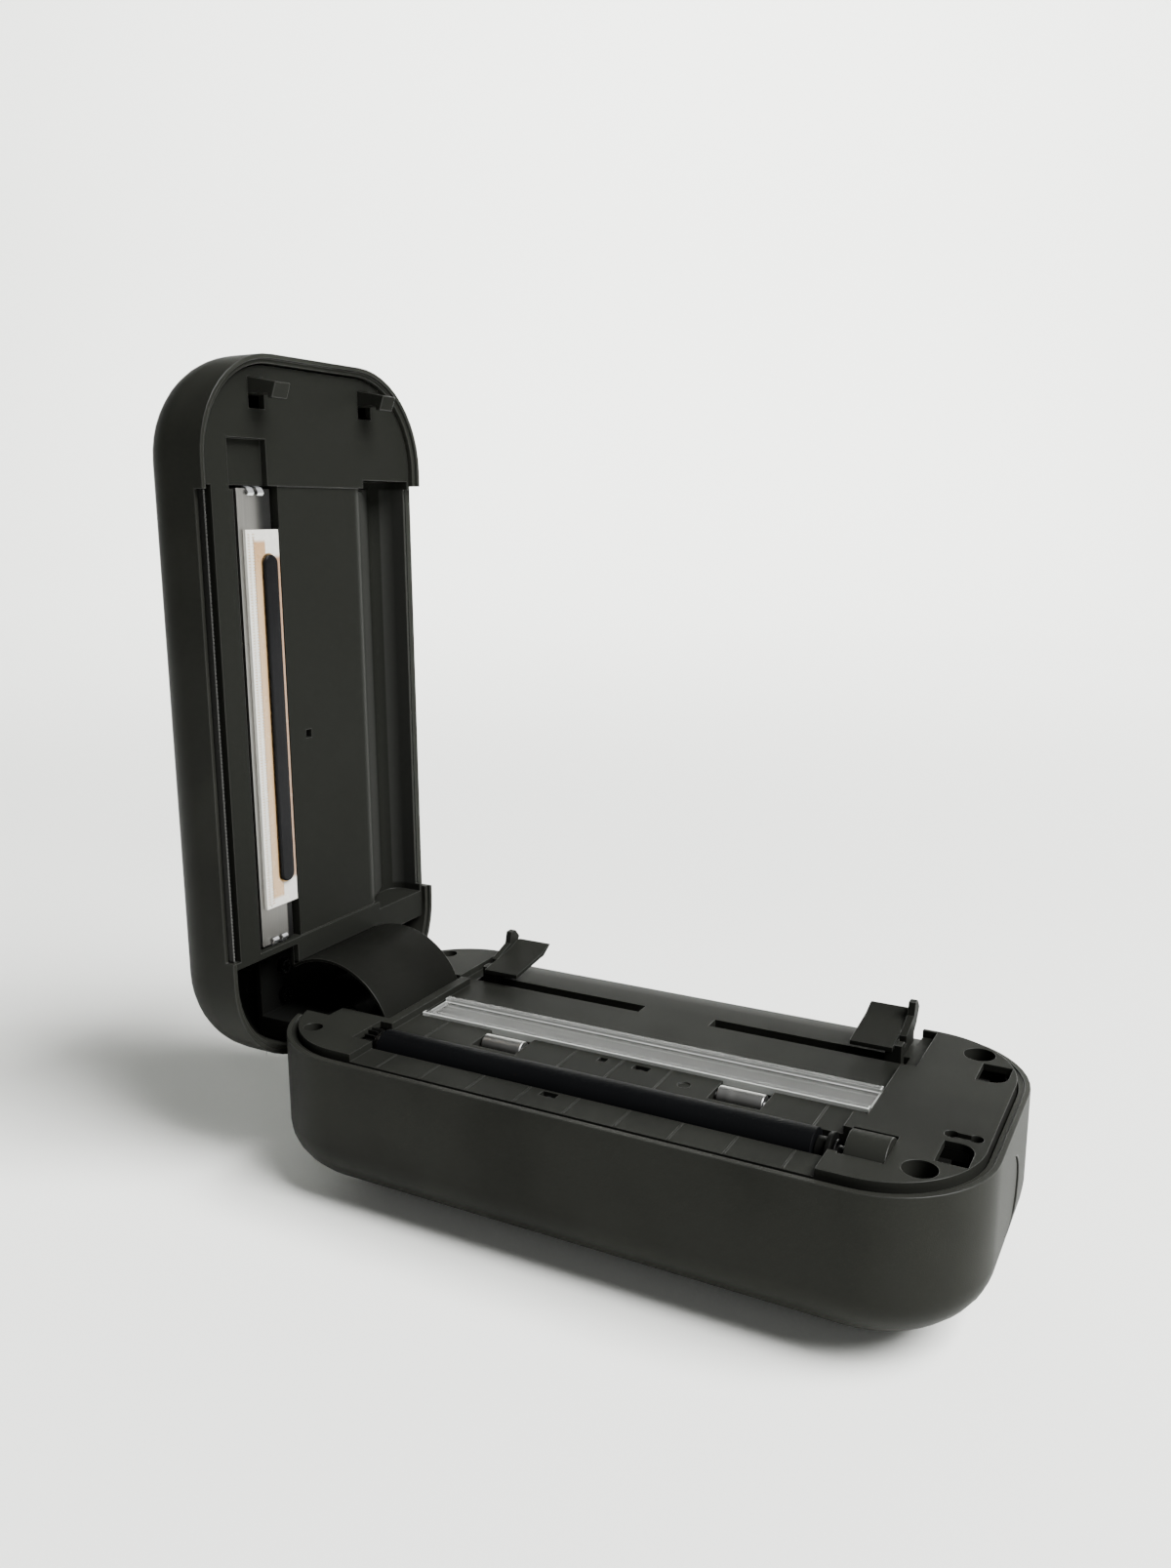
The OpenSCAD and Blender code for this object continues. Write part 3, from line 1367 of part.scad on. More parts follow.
// Curved cover over the hinge, with a flange on the lid frame's end strip
module hinge_cover() color(case_black) open_lid() {
    z1 = face_z + face_t;
    difference() {
        translate([hinge_x, cover_half, hinge_z]) rotate([90, 0, 0])
            linear_extrude(2 * cover_half) intersection() {
                difference() {
                    circle(cover_r + cover_t / 2, $fn = 96);
                    circle(cover_r - cover_t / 2, $fn = 96);
                }
                polygon([[0, 0], [2 * cover_r * cos(cover_foot_angle), 2 * cover_r
                    * sin(cover_foot_angle)], [2 * cover_r, -2 * cover_r], [2 * cover_r,
                    z1 - hinge_z], [0, z1 - hinge_z]]);
            }
        block(-half_len - over, hinge_x, -half_w, half_w, 0, lid_top);
    }
    block(cover_plate_x - 2 * cover_t, -lid_block_x - lid_frame_t, -cover_half, cover_half, z1,
        z1 + cover_t);
}

// Lid leaf of the hinge: two knuckles, their arms and the plate screwed to the lid shell
module lid_hinge_leaf() color(frame_black) open_lid() {
    x0 = hinge_x - arm_back;
    difference() {
        union() {
            for (s = [-1, 1]) {
                y0 = s > 0 ? middle_half + knuckle_gap : -hinge_half;
                y1 = s > 0 ? hinge_half : -middle_half - knuckle_gap;
                rod_y(y0, y1, hinge_x, hinge_z, knuckle_d);
                block(x0, hinge_x + knuckle_leg, y0, y1, hinge_z, leaf_z + leaf_t);
            }
            block(x0, leaf_x, -hinge_half, hinge_half, leaf_z, leaf_z + leaf_t);
        }
        rod_y(-hinge_half - over, hinge_half + over, hinge_x, hinge_z, hinge_pin_d + 2 * fit);
        for (p = lid_post_places) if (p[0] < 0)
            rod_z(leaf_z - over, leaf_z + leaf_t + over, p[0], p[1], screw_d + 2 * fit);
    }
}
leaf_x = -fence_room - lid_frame_t - pass_gap;
arm_back = 2.6;

// Two hooks with their noses turned towards the hinge, on one bar behind the lid frame
module latch_hooks() color(frame_black) open_lid() {
    for (s = [-1, 1]) translate([hook_x, s * hook_y + hook_w / 2, 0]) rotate([90, 0, 0])
        linear_extrude(hook_w) hook_section();
    block(hook_x - shank_t / 2, hook_x + shank_t / 2, -hook_y - hook_w / 2, hook_y + hook_w / 2,
        face_z + face_t, face_z + face_t + hook_bar_t);
}
module hook_section() {
    polygon([[shank_t / 2, face_z + face_t + hook_bar_t], [shank_t / 2, face_z],
        [shank_t / 2 - shank_slope, hook_low], [-shank_t / 2 - nose, hook_low + nose_h / 2],
        [-shank_t / 2 - nose, hook_low + nose_h], [-shank_t / 2, hook_low + nose_h],
        [-shank_t / 2, face_z + face_t + hook_bar_t]]);
}

// Strip along the paper exit that the label is torn against
module tear_bar() color(zinc) open_lid() {
    along_x(-exit_half + pass_gap, exit_half - pass_gap) polygon([
        [-half_w + blade_in, lid_rim + wall_cut], [-half_w + blade_in + blade_t,
        lid_rim + wall_cut - blade_h], [-half_w + blade_in + 2 * blade_t, lid_rim + wall_cut
        - blade_h], [-lid_frame_w / 2, face_z], [-lid_frame_w / 2, lid_rim + wall_cut]]);
}
blade_in = 1;
blade_t = 0.4;
blade_h = 1.8;

module lid_screws() color(zinc) open_lid() {
    for (p = lid_post_places) if (p[0] < 0) translate([p[0], p[1], leaf_z]) mirror([0, 0, 1])
        screw(0, 0, 0);
}

// Bent metal clips that hold the print head at each end
module head_clips() color(steel) open_lid() {
    y = head_front_y + head_w / 2;
    for (s = [-1, 1]) {
        block(s > 0 ? head_len / 2 + clip_gap : -lid_block_x, s > 0 ? lid_block_x
            : -head_len / 2 - clip_gap, y - clip_w / 2, y + clip_w / 2, face_z + clip_skin,
            channel_z);
        block(s > 0 ? head_len / 2 - clip_reach : -lid_block_x, s > 0 ? lid_block_x
            : -head_len / 2 + clip_reach, y - clip_w / 2, y + clip_w / 2, face_z
            + clip_skin, face_z + 2 * clip_skin);
    }
}
clip_gap = 0.2;
clip_w = 6;
clip_skin = 0.4;
clip_reach = 2.4;

module lid_sensor() color(rubber_black) open_lid() {
    y = sensor_y + lid_sensor_back;
    block(sensor_x - sensor_wide / 2, sensor_x + sensor_wide / 2, y - sensor_small,
        y + sensor_small, panel_z + lid_frame_t, panel_z + lid_frame_t + sensor_h);
}

// Small board under the power button, with its switch
module button_board() color(board_green) open_lid() {
    block(light_x - button_board_in, power_x + button_board_half, -button_board_half,
        button_board_half, button_board_z, button_board_z + board_t);
    rod_z(button_board_z + board_t, switch_z, power_x, 0, power_d / 3);
}
button_board_in = 2;
button_board_half = 12;
power_flange = 0.8;
power_proud = 0.5;
switch_z = lid_under - power_flange - power_travel - pass_gap;

module status_light() color(clear_grey) open_lid() {
    for (s = [-1, 0, 1])
        rod_z(button_board_z + board_t, lid_top, light_x, s * light_pitch, light_d - 2 * fit);
}

module power_button() color(frame_black) open_lid() {
    rod_z(lid_under - fit, lid_top + power_proud, power_x, 0, power_d);
    rod_z(lid_under - fit - power_flange, lid_under - fit, power_x, 0, power_d + 2 * power_flange);
}

// Print head: aluminium body, ceramic strip, chip cover and connector
module head_body() color(aluminium) open_lid() {
    block(-head_len / 2, head_len / 2, head_front_y, head_front_y + head_w,
        ceramic_z + ceramic_t, ceramic_z + ceramic_t + head_h);
}
module head_ceramic() color(ceramic_white) open_lid() {
    block(-ceramic_len / 2, ceramic_len / 2, head_front_y + ceramic_back, head_front_y + head_w
        + ceramic_back, ceramic_z, ceramic_z + ceramic_t);
}
module head_chip_cover() color(rubber_black) open_lid() {
    y = head_front_y + chip_in + chip_w / 2;
    translate([0, y, ceramic_z - chip_up]) linear_extrude(chip_up)
        round_rect(chip_len, chip_w, chip_w / 2 - fit);
}
ceramic_back = 1.6;
chip_in = 7.5;
chip_w = 5.2;
chip_up = 1.2;
chip_end = 6.8;
chip_len = ceramic_len - 2 * chip_end;
module head_connector() color(gear_white) open_lid() {
    z = ceramic_z + ceramic_t + head_h;
    block(-plug_len / 2, plug_len / 2, head_front_y + head_w - plug_w, head_front_y + head_w,
        z, z + plug_w);
}
plug_len = 30;
plug_w = 3;

head_spring_d = 5;
head_spring_share = 0.34;
head_spring_x = head_spring_share * head_len;
head_turns = 3;
module head_springs() color(steel) open_lid() {
    z = ceramic_z + ceramic_t + head_h;
    for (s = [-1, 1]) translate([s * head_spring_x, head_front_y + head_w / 2, z])
        coil(head_turns, (head_spring_d - spring_wire) / 2, channel_z - z, spring_wire);
}

// Least gap of each coil to itself, measured between points one turn apart
function coil_gap(turns, mean_r, length, wire) = let (p = coil_path(turns, mean_r, length, wire))
    min([for (i = [0:len(p) - 1], j = [i + coil_rings / 2:1:len(p) - 1]) norm(p[i] - p[j])])
    - wire;
echo(latch_spring_gap = coil_gap(latch_turns, (latch_spring_d - spring_wire) / 2,
    latch_spring_len, spring_wire));
echo(head_spring_gap = coil_gap(head_turns, (head_spring_d - spring_wire) / 2,
    channel_z - (ceramic_z + ceramic_t + head_h), spring_wire));

base_shell();
rubber_pad();
deck_frame();
deck_screws();
hinge_bracket();
hinge_pin();
gear_plate();
drive_motor();
idler_stud();
platen_bushes();
bearing_cap();
clear_bar();
roller_axles();
paper_sensors();
guide_track();
main_board();
board_parts();
charge_port();
battery_cells();
battery_cradle();
latch_retainer();
latch_springs();
platen_shaft();
platen_rubber();
platen_gear();
platen_collar();
shaft_clip();
idler_gear();
motor_pinion();
paper_guide_left();
guide_rack_left();
paper_guide_right();
guide_rack_right();
guide_pinion();
pinch_roller_left();
pinch_roller_right();
release_button();
latch_slider();
lid_shell();
lid_frame();
hinge_cover();
lid_hinge_leaf();
latch_hooks();
tear_bar();
lid_screws();
head_clips();
lid_sensor();
button_board();
status_light();
head_body();
head_ceramic();
head_chip_cover();
head_connector();
head_springs();
power_button();
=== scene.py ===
# %% [markdown]
# # A portable label printer, standing open
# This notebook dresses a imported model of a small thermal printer. The shapes come from the
# model, which is loaded first and never moved. What is added here is what the eye sees on the
# real thing: softened edges, moulded and metal finishes, and the small parts that catch light.

# %% Load the model and keep its box
import bpy, bmesh, json, math
from mathutils import Matrix, Vector


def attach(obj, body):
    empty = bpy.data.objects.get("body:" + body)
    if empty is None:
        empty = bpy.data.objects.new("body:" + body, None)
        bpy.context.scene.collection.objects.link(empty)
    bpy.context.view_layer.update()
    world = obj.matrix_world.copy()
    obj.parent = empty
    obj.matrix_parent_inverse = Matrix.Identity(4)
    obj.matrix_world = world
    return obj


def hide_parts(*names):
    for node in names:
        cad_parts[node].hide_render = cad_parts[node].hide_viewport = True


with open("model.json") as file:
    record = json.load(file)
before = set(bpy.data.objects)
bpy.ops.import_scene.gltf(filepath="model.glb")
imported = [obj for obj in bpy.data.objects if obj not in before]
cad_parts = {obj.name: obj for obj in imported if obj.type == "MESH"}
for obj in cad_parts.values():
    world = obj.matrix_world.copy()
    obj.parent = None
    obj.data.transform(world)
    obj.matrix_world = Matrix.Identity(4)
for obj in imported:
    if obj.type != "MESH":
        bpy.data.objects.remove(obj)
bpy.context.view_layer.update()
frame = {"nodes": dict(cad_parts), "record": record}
node = frame["nodes"]

# %% [markdown]
# ## Camera
# The photograph was taken from close by, in front of the latch end and a little above. Its place,
# its turn and its angle of view were worked out from the outlines of the two shells, so they are
# written as a position, three angles and a lens, and no shift is needed.

# %% Camera at the photograph's place
def add_camera(place, turn_left, look_down, roll, lens):
    data = bpy.data.cameras.new("photo_camera")
    data.sensor_fit = "VERTICAL"
    data.sensor_height = 36.0
    data.lens = lens
    data.clip_start = 0.01
    camera = bpy.data.objects.new("photo_camera", data)
    bpy.context.scene.collection.objects.link(camera)
    turn = (Matrix.Rotation(math.radians(turn_left), 4, "Z")
            @ Matrix.Rotation(math.radians(90 - look_down), 4, "X")
            @ Matrix.Rotation(math.radians(roll), 4, "Z"))
    camera.matrix_world = Matrix.Translation(place) @ turn
    bpy.context.scene.camera = camera
    return camera

camera = add_camera((0.13786, -0.29069, 0.18860), 27.969, 12.114, -0.19, 28.65)
print("camera at", tuple(round(v, 4) for v in camera.location))

# %% [markdown]
# ## Floor and light
# A product photograph like this has a seamless pale sweep and very large soft lamps. One sheet
# that curves up far behind the printer gives the sweep. The key lamp stands high beyond the
# latch end, so the open lid throws its soft shadow to the left and the front stays dark.
# A weak lamp from the front right opens the dark recesses. A wide one above the printer has a
# narrow spread and lights only the rear of the sweep, so that the ground is as bright behind as in
# front and the shadow stays deep. The sky is weak, because a strong one would wash the blacks out.

# %% Seamless sweep
def add_sweep(half_width=5.0, front=-6.0, back=2.2, rise=1.4, bend=0.7, steps=16, turn=28.0):
    """Sizes in metres. The turn, in degrees, sets the sheet square to the line of sight."""
    outline = [(front, 0.0), (back - bend, 0.0)]
    for k in range(1, steps + 1):
        a = math.pi / 2 * k / steps
        outline.append((back - bend + bend * math.sin(a), bend - bend * math.cos(a)))
    outline.append((back, rise))
    mesh = bpy.data.meshes.new("sweep")
    points = [(x, y, z) for y, z in outline for x in (-half_width, half_width)]
    faces = [(2 * i, 2 * i + 1, 2 * i + 3, 2 * i + 2) for i in range(len(outline) - 1)]
    mesh.from_pydata(points, [], faces)
    for face in mesh.polygons:
        face.use_smooth = True
    sweep = bpy.data.objects.new("sweep", mesh)
    sweep.matrix_world = Matrix.Rotation(math.radians(turn), 4, "Z")
    bpy.context.scene.collection.objects.link(sweep)
    return sweep

sweep = add_sweep()
print("sweep:", len(sweep.data.polygons), "faces")

# %% Lamps and sky
def add_lamp(name, place, target, size, power, spread=180):
    data = bpy.data.lights.new(name, "AREA")
    data.shape = "RECTANGLE"
    data.size, data.size_y = size
    data.energy = power
    data.spread = math.radians(spread)
    lamp = bpy.data.objects.new(name, data)
    aim = (Vector(target) - Vector(place)).to_track_quat("-Z", "Y")
    lamp.matrix_world = Matrix.Translation(place) @ aim.to_matrix().to_4x4()
    bpy.context.scene.collection.objects.link(lamp)
    return lamp

printer = (0.0, 0.0, 0.05)
add_lamp("key", (1.78, 0.0, 2.35), printer, (1.8, 1.8), 390.0)
add_lamp("front_fill", (1.15, -1.6, 0.9), (0.0, 0.0, 0.08), (1.4, 1.0), 7.0)
add_lamp("sweep_wash", (-0.235, 0.44, 1.9), (-1.03, 1.94, 0.6), (3.0, 0.8), 70.0, spread=110)
world = bpy.data.worlds.new("studio")
world.use_nodes = True
sky = world.node_tree.nodes["Background"].inputs
sky["Color"].default_value, sky["Strength"].default_value = (0.93, 0.94, 0.92, 1), 0.09
bpy.context.scene.world = world

# %% [markdown]
# ## Writing finishes as sums
# A finish is a small formula: a colour plus a little noise, a roughness that wanders. Wiring
# that by hand hides the formula in boxes, so one class wraps a node's socket and lets ordinary
# plus, minus and times build the boxes behind it. Every other node comes from the method called
# node, which takes the node's type, its settings and what goes into its sockets.

# %% A socket that can be added and multiplied
class Wave:
    def __init__(self, tree, socket):
        self.tree, self.socket = tree, socket

    @staticmethod
    def feed(tree, socket, value):
        """Put a link or a plain value into a socket."""
        if isinstance(value, Wave):
            value = value.socket
        if isinstance(value, bpy.types.NodeSocket):
            tree.links.new(value, socket)
        else:
            socket.default_value = (*value, 1) if socket.type == "RGBA" else value

    @staticmethod
    def node(tree, kind, settings=None, inputs=None):
        """Add a node, first with its settings, then with a link or a value for its sockets."""
        made = tree.nodes.new(kind)
        for name, value in (settings or {}).items():
            setattr(made, name, value)
        for name, value in (inputs or {}).items():
            Wave.feed(tree, made.inputs[name], value)
        return made

    def _next(self, kind, settings, inputs, output=0):
        return Wave(self.tree, self.node(self.tree, kind, settings, inputs).outputs[output])

    def _math(self, operation, first, second):
        return self._next("ShaderNodeMath", {"operation": operation}, {0: first, 1: second})

    def __add__(self, other): return self._math("ADD", self, other)
    def __sub__(self, other): return self._math("SUBTRACT", self, other)
    def __mul__(self, other): return self._math("MULTIPLY", self, other)
    def __radd__(self, other): return self._math("ADD", other, self)
    def __rsub__(self, other): return self._math("SUBTRACT", other, self)
    def __rmul__(self, other): return self._math("MULTIPLY", other, self)

    def ramp(self, low, high):
        """0 below low, 1 above high, and a smooth step between them."""
        return self._next("ShaderNodeMapRange", {"interpolation_type": "SMOOTHSTEP"},
                          {"Value": self, "From Min": low, "From Max": high}, "Result")

    def band(self, low, high, soft):
        """1 between low and high, 0 elsewhere, with soft flanks."""
        return self.ramp(low - soft, low + soft) - self.ramp(high - soft, high + soft)

    def tint(self, low, high):
        """Mix two colours, by this socket's value. Sockets 6, 7 and 2 are the colour ones."""
        return self._next("ShaderNodeMix", {"data_type": "RGBA"}, {0: self, 6: low, 7: high}, 2)


class Finish:
    """One material: its shader, its place in the object, and noise at a size in metres."""
    def __init__(self, name, **sockets):
        self.material = bpy.data.materials.new(name)
        self.material.use_nodes = True
        self.tree = self.material.node_tree
        self.shader = self.tree.nodes["Principled BSDF"]
        self.coords = Wave.node(self.tree, "ShaderNodeTexCoord").outputs["Object"]
        for socket, value in sockets.items():
            self.set(socket.replace("_", " "), value)

    def set(self, socket, value):
        Wave.feed(self.tree, self.shader.inputs[socket], value)

    def noise(self, size, detail=3.0, stretch=(1, 1, 1)):
        place = Wave.node(self.tree, "ShaderNodeMapping", None,
                          {"Vector": self.coords, "Scale": stretch})
        made = Wave.node(self.tree, "ShaderNodeTexNoise", None,
                         {"Vector": place.outputs[0], "Scale": 1 / size, "Detail": detail})
        return Wave(self.tree, made.outputs[0])

    def along(self, axis):
        split = Wave.node(self.tree, "ShaderNodeSeparateXYZ", None, {0: self.coords})
        return Wave(self.tree, split.outputs[axis])

    def bump(self, height, depth):
        made = Wave.node(self.tree, "ShaderNodeBump", None,
                         {"Height": height, "Strength": 1.0, "Distance": depth})
        self.set("Normal", made.outputs[0])

print("socket wrapper ready")

# %% Paper of the sweep: barely warm white with a faint cloudiness
paper = Finish("sweep_paper", Roughness=0.95)
paper.set("Base Color", paper.noise(0.5, 2).tint((0.79, 0.80, 0.765), (0.82, 0.83, 0.795)))
paper.bump(paper.noise(0.0012, 2), 0.00004)
sweep.data.materials.append(paper.material)
print("sweep wears", sweep.data.materials[0].name)

# %% [markdown]
# ## Moulded plastic
# Both shells are near-black ABS from a spark-eroded mould: a fine even grain that scatters
# light into a soft grey. Small noise drives the bump, large noise drives colour and roughness by
# a few hundredths. The specular level is set far lower than real plastic's: the lamps and the pale
# sweep would otherwise veil the shells in grey, which the photograph doesn't show.

# %% Grain, and the plastics that share it
def add_grain(made, rough, grain, depth, haze, shine):
    broad, fine = made.noise(0.045, 2), made.noise(grain, 2)
    made.set("Roughness", (broad - 0.5) * haze + (fine - 0.5) * 0.08 + rough)
    made.bump(fine, depth)
    made.set("Specular IOR Level", shine)
    return broad

def scaled(colour, share):
    return tuple(c * share for c in colour)

def moulded(name, colour, rough, grain=0.0003, depth=0.00001, haze=0.05, shine=0.16):
    made = Finish(name)
    broad = add_grain(made, rough, grain, depth, haze, shine)
    made.set("Base Color", broad.ramp(0.35, 0.65).tint(scaled(colour, 0.82), scaled(colour, 1.18)))
    return made

case = moulded("shell_grain", (0.0122, 0.0126, 0.0107), 0.46, 0.00035, 0.00003, shine=0.03)
deck = moulded("frame_satin", (0.0096, 0.01, 0.0086), 0.44, depth=0.00002, shine=0.01)
cover = moulded("cover_satin", (0.0048, 0.005, 0.0043), 0.42, depth=0.00002, shine=0.01)
dark = moulded("dark_satin", (0.0032, 0.0033, 0.003), 0.42, shine=0.02)
rim = moulded("rounded_rim", (0.0105, 0.0109, 0.0095), 0.36, shine=0.15)
pale = moulded("pale_gear_plastic", (0.62, 0.6, 0.52), 0.4, 0.0006)
resin = moulded("chip_resin", (0.004, 0.004, 0.0045), 0.24, 0.002, 0.000004, 0.02, 0.05)
print("plastics:", [made.material.name for made in (case, deck, cover, dark, rim, pale, resin)])

# %% [markdown]
# ## The lid's inner panel
# In the photograph a soft bright column runs down the panel where it bends, and the recess beside
# it is as light as the flat. The lamps here don't make that highlight, so it is painted: a paler
# band stands on the bend and a paler field in the recess. Both bands are given in metres, across
# the lid (Y), along it (Z) and by depth (X).

# %% Panel with a painted highlight
panel = Finish("lid_panel_satin")
add_grain(panel, 0.44, 0.0003, 0.00002, 0.05, 0.01)
back, upward, depth = (panel.along(axis) for axis in "YZX")
bend = back.band(0.0186, 0.0208, 0.0016) * upward.band(0.068, 0.196, 0.002)
recess = back.ramp(0.021, 0.024) * depth.ramp(-0.1139, -0.1135)
recess = recess * upward.band(0.066, 0.197, 0.0005)
flat = panel.noise(0.05, 2).tint((0.0072, 0.0076, 0.0064), (0.0092, 0.0096, 0.0084))
field = recess.tint(flat, (0.0175, 0.018, 0.0165))
panel.set("Base Color", bend.tint(field, (0.026, 0.0265, 0.0245)))
print("panel nodes:", len(panel.tree.nodes))

# %% [markdown]
# ## Rubber, metals and glaze
# The roller is ground silicone rubber: nearly black, a little blue, with fine turning marks round
# it. Metals get stretched noise along the direction they were brushed or turned. The ceramic
# strip is white with a fired tan band and a thin brown line, and its ends stay bare, so two
# bands, one across and one along, are multiplied. The places in these formulas are in metres,
# measured in the rest pose, with the lid standing open.

# %% Rubber
rubber = Finish("ground_rubber")
rings = rubber.noise(0.0004, 2, (1.0, 0.04, 0.04))
blacks = rubber.noise(0.02, 2).tint((0.0016, 0.0017, 0.0019), (0.0027, 0.0029, 0.0032))
rubber.set("Base Color", blacks)
rubber.set("Roughness", rings * 0.12 + 0.46)
rubber.set("Specular IOR Level", 0.02)
rubber.bump(rings, 0.00002)
print("rubber nodes:", len(rubber.tree.nodes))

# %% Metals, with streaks that run along the axes whose stretch is small
def metal(name, colour, rough, stretch, size=0.0006, depth=0.00001):
    made = Finish(name, Metallic=1.0)
    streak = made.noise(size, 3, stretch)
    made.set("Base Color", streak.tint(scaled(colour, 0.86), colour))
    made.set("Roughness", streak * 0.16 + rough)
    made.bump(streak, depth)
    return made

turned, drawn, even = (1, 0.05, 0.05), (1, 1, 0.05), (1, 1, 1)
steel = metal("brushed_steel", (0.62, 0.63, 0.64), 0.28, turned)
chrome = metal("turned_chrome", (0.34, 0.34, 0.33), 0.3, (1, 0.3, 0.3), 0.004)
zinc = metal("zinc_plate", (0.42, 0.43, 0.44), 0.34, even, 0.002)
brass = metal("turned_brass", (0.6, 0.43, 0.17), 0.25, turned)
bronze = metal("bronze_border", (0.42, 0.27, 0.13), 0.3, even, 0.001)
blade = metal("blackened_blade", (0.014, 0.014, 0.0135), 0.34, drawn, 0.0008)
edge_steel = metal("edge_steel", (0.09, 0.09, 0.088), 0.36, drawn, 0.0008)
print("steel nodes:", len(steel.tree.nodes))

# %% Drawn aluminium of the head, with painted shade and a painted dark reflection towards the deep side of its channel
aluminium = Finish("drawn_aluminium", Metallic=1.0)
lines = aluminium.noise(0.0005, 3, (1, 1, 0.02))
# Painted shade and dark reflection: near black at the channel's deep side and in a slanted corner
# at the top.
top_shade_corner = aluminium.along("Y").ramp(-0.0285, -0.0205) * aluminium.along("Z").ramp(0.15, 0.19)
painted_shade = top_shade_corner + aluminium.along("Y").ramp(-0.0213, -0.0203)
bright = lines.tint((0.2, 0.195, 0.185), (0.27, 0.262, 0.25))
aluminium.set("Base Color", painted_shade.ramp(0, 1).tint(bright, (0.02, 0.02, 0.02)))
aluminium.set("Roughness", lines * 0.16 + 0.3)
aluminium.bump(lines, 0.00001)
print("aluminium nodes:", len(aluminium.tree.nodes))

# %% Glazed ceramic with its fired bands
glaze = Finish("glazed_ceramic", Coat_Weight=0.25)
across, upward = glaze.along("Y"), glaze.along("Z")
tan = across.band(-0.0269, -0.0226, 0.0002) * upward.band(0.0805, 0.1822, 0.0006)
brown = across.band(-0.0272, -0.0269, 0.00012) * upward.band(0.0805, 0.183, 0.0003)
chip_side = across.ramp(-0.0193, -0.0189) * upward.band(0.085, 0.178, 0.0008)
bare = glaze.noise(0.01, 2).tint((0.43, 0.42, 0.385), (0.5, 0.49, 0.45))
fired = upward.ramp(0.168, 0.183).tint((0.34, 0.225, 0.12), (0.28, 0.165, 0.08))
white = chip_side.tint(bare, (0.2, 0.115, 0.065))
glaze.set("Base Color", brown.tint(tan.tint(white, fired), (0.16, 0.1, 0.055)))
glaze.set("Roughness", glaze.noise(0.003) * 0.1 + 0.22)
print("glaze nodes:", len(glaze.tree.nodes))

# %% [markdown]
# ## Clear strip
# The strip is clear plastic that looks milky grey in the photograph. Its lit edges and ends and
# the dark line inside each lip are painted. The body is a third opaque on purpose: a fainter
# surface leaves the denoiser without a clean guide and turns dotted.

# %% Clear strip
clear = Finish("clear_strip", IOR=1.49)
side, end = clear.along("Y"), clear.along("X")
lit = side.band(-0.0087, -0.00815, 0.00012) + side.band(0.0029, 0.0035, 0.00015)
lit = lit + end.ramp(0.0659, 0.0662) + (1 - end.ramp(-0.0662, -0.0659))
shade = side.band(-0.0068, -0.0062, 0.0002) + side.band(0.0045, 0.0049, 0.0001)
body = clear.noise(0.03, 2).tint((0.05, 0.051, 0.049), (0.066, 0.067, 0.064))
clear.set("Base Color", shade.tint(lit.tint(body, (0.42, 0.43, 0.41)), (0.01, 0.01, 0.01)))
clear.set("Alpha", lit * 0.3 + shade * 0.35 + clear.noise(0.012, 2) * 0.05 + 0.33)
clear.set("Roughness", clear.noise(0.006) * 0.08 + 0.1)
print("clear strip nodes:", len(clear.tree.nodes))

# %% Circuit board, cell film and lamp window
board = Finish("circuit_board", Coat_Weight=0.5)
traces = board.noise(0.002, 4).ramp(0.45, 0.55)
board.set("Base Color", traces.tint((0.01, 0.07, 0.03), (0.02, 0.13, 0.06)))
board.set("Roughness", board.noise(0.004) * 0.2 + 0.25)
film = Finish("cell_film")
film.set("Base Color", film.noise(0.02).tint((0.02, 0.07, 0.2), (0.03, 0.1, 0.26)))
film.set("Roughness", film.noise(0.004) * 0.2 + 0.2)
window = Finish("lamp_window", Alpha=0.8)
window.set("Base Color", window.noise(0.004).tint((0.6, 0.65, 0.7), (0.75, 0.78, 0.8)))
window.set("Roughness", window.noise(0.002) * 0.2 + 0.2)
print("materials in the file:", len(bpy.data.materials))

# %% Dress the model's own nodes
dress = {
    case: "base_shell lid_shell release_button",
    cover: "hinge_cover",
    panel: "lid_frame",
    deck: "deck_frame bearing_cap paper_guide_left paper_guide_right "
          "latch_hooks guide_track guide_rack_left guide_rack_right "
          "battery_cradle latch_retainer power_button",
    dark: "paper_sensors lid_sensor board_parts platen_collar lid_hinge_leaf hinge_bracket "
          "platen_gear idler_gear latch_slider",
    resin: "head_chip_cover",
    pale: "guide_pinion head_connector",
    rubber: "platen_rubber rubber_pad",
    steel: "hinge_pin roller_axles latch_springs head_springs charge_port "
           "idler_stud drive_motor head_clips",
    blade: "lid_screws tear_bar gear_plate shaft_clip platen_shaft platen_bushes",
    zinc: "deck_screws",
    chrome: "pinch_roller_left pinch_roller_right",
    brass: "motor_pinion",
    aluminium: "head_body",
    glaze: "head_ceramic",
    clear: "clear_bar",
    board: "main_board button_board",
    film: "battery_cells",
    window: "status_light"}
finish_of = {name: made.material for made, names in dress.items() for name in names.split()}
for name, finish in finish_of.items():
    node[name].data.materials.clear()
    node[name].data.materials.append(finish)
print("dressed", len(finish_of), "nodes, bare:", sorted(set(node) - set(finish_of)))

# %% [markdown]
# ## Edges that catch the light
# A moulded or machined edge is never perfectly sharp: it carries a radius of a tenth or two of a
# millimetre, and that thin band is what draws the bright outline in a photograph. The model's
# solids have sharp edges, so what shows is copied, its loose triangles are merged into flat faces,
# a Bevel rounds what turns more than 32 degrees, and weighted normals keep the flats flat. On the
# plastic pieces the rounded strip is smoother than the grained faces, so it has its own finish.

# %% Plain meshes and homes
body_of = {n: b for b, names in frame["record"]["behaviour"]["bodies"].items() for n in names}

def plain_mesh(piece):
    view = bpy.context.evaluated_depsgraph_get()
    baked = bpy.data.meshes.new_from_object(piece.evaluated_get(view))
    piece.modifiers.clear()
    piece.data = baked
    return baked

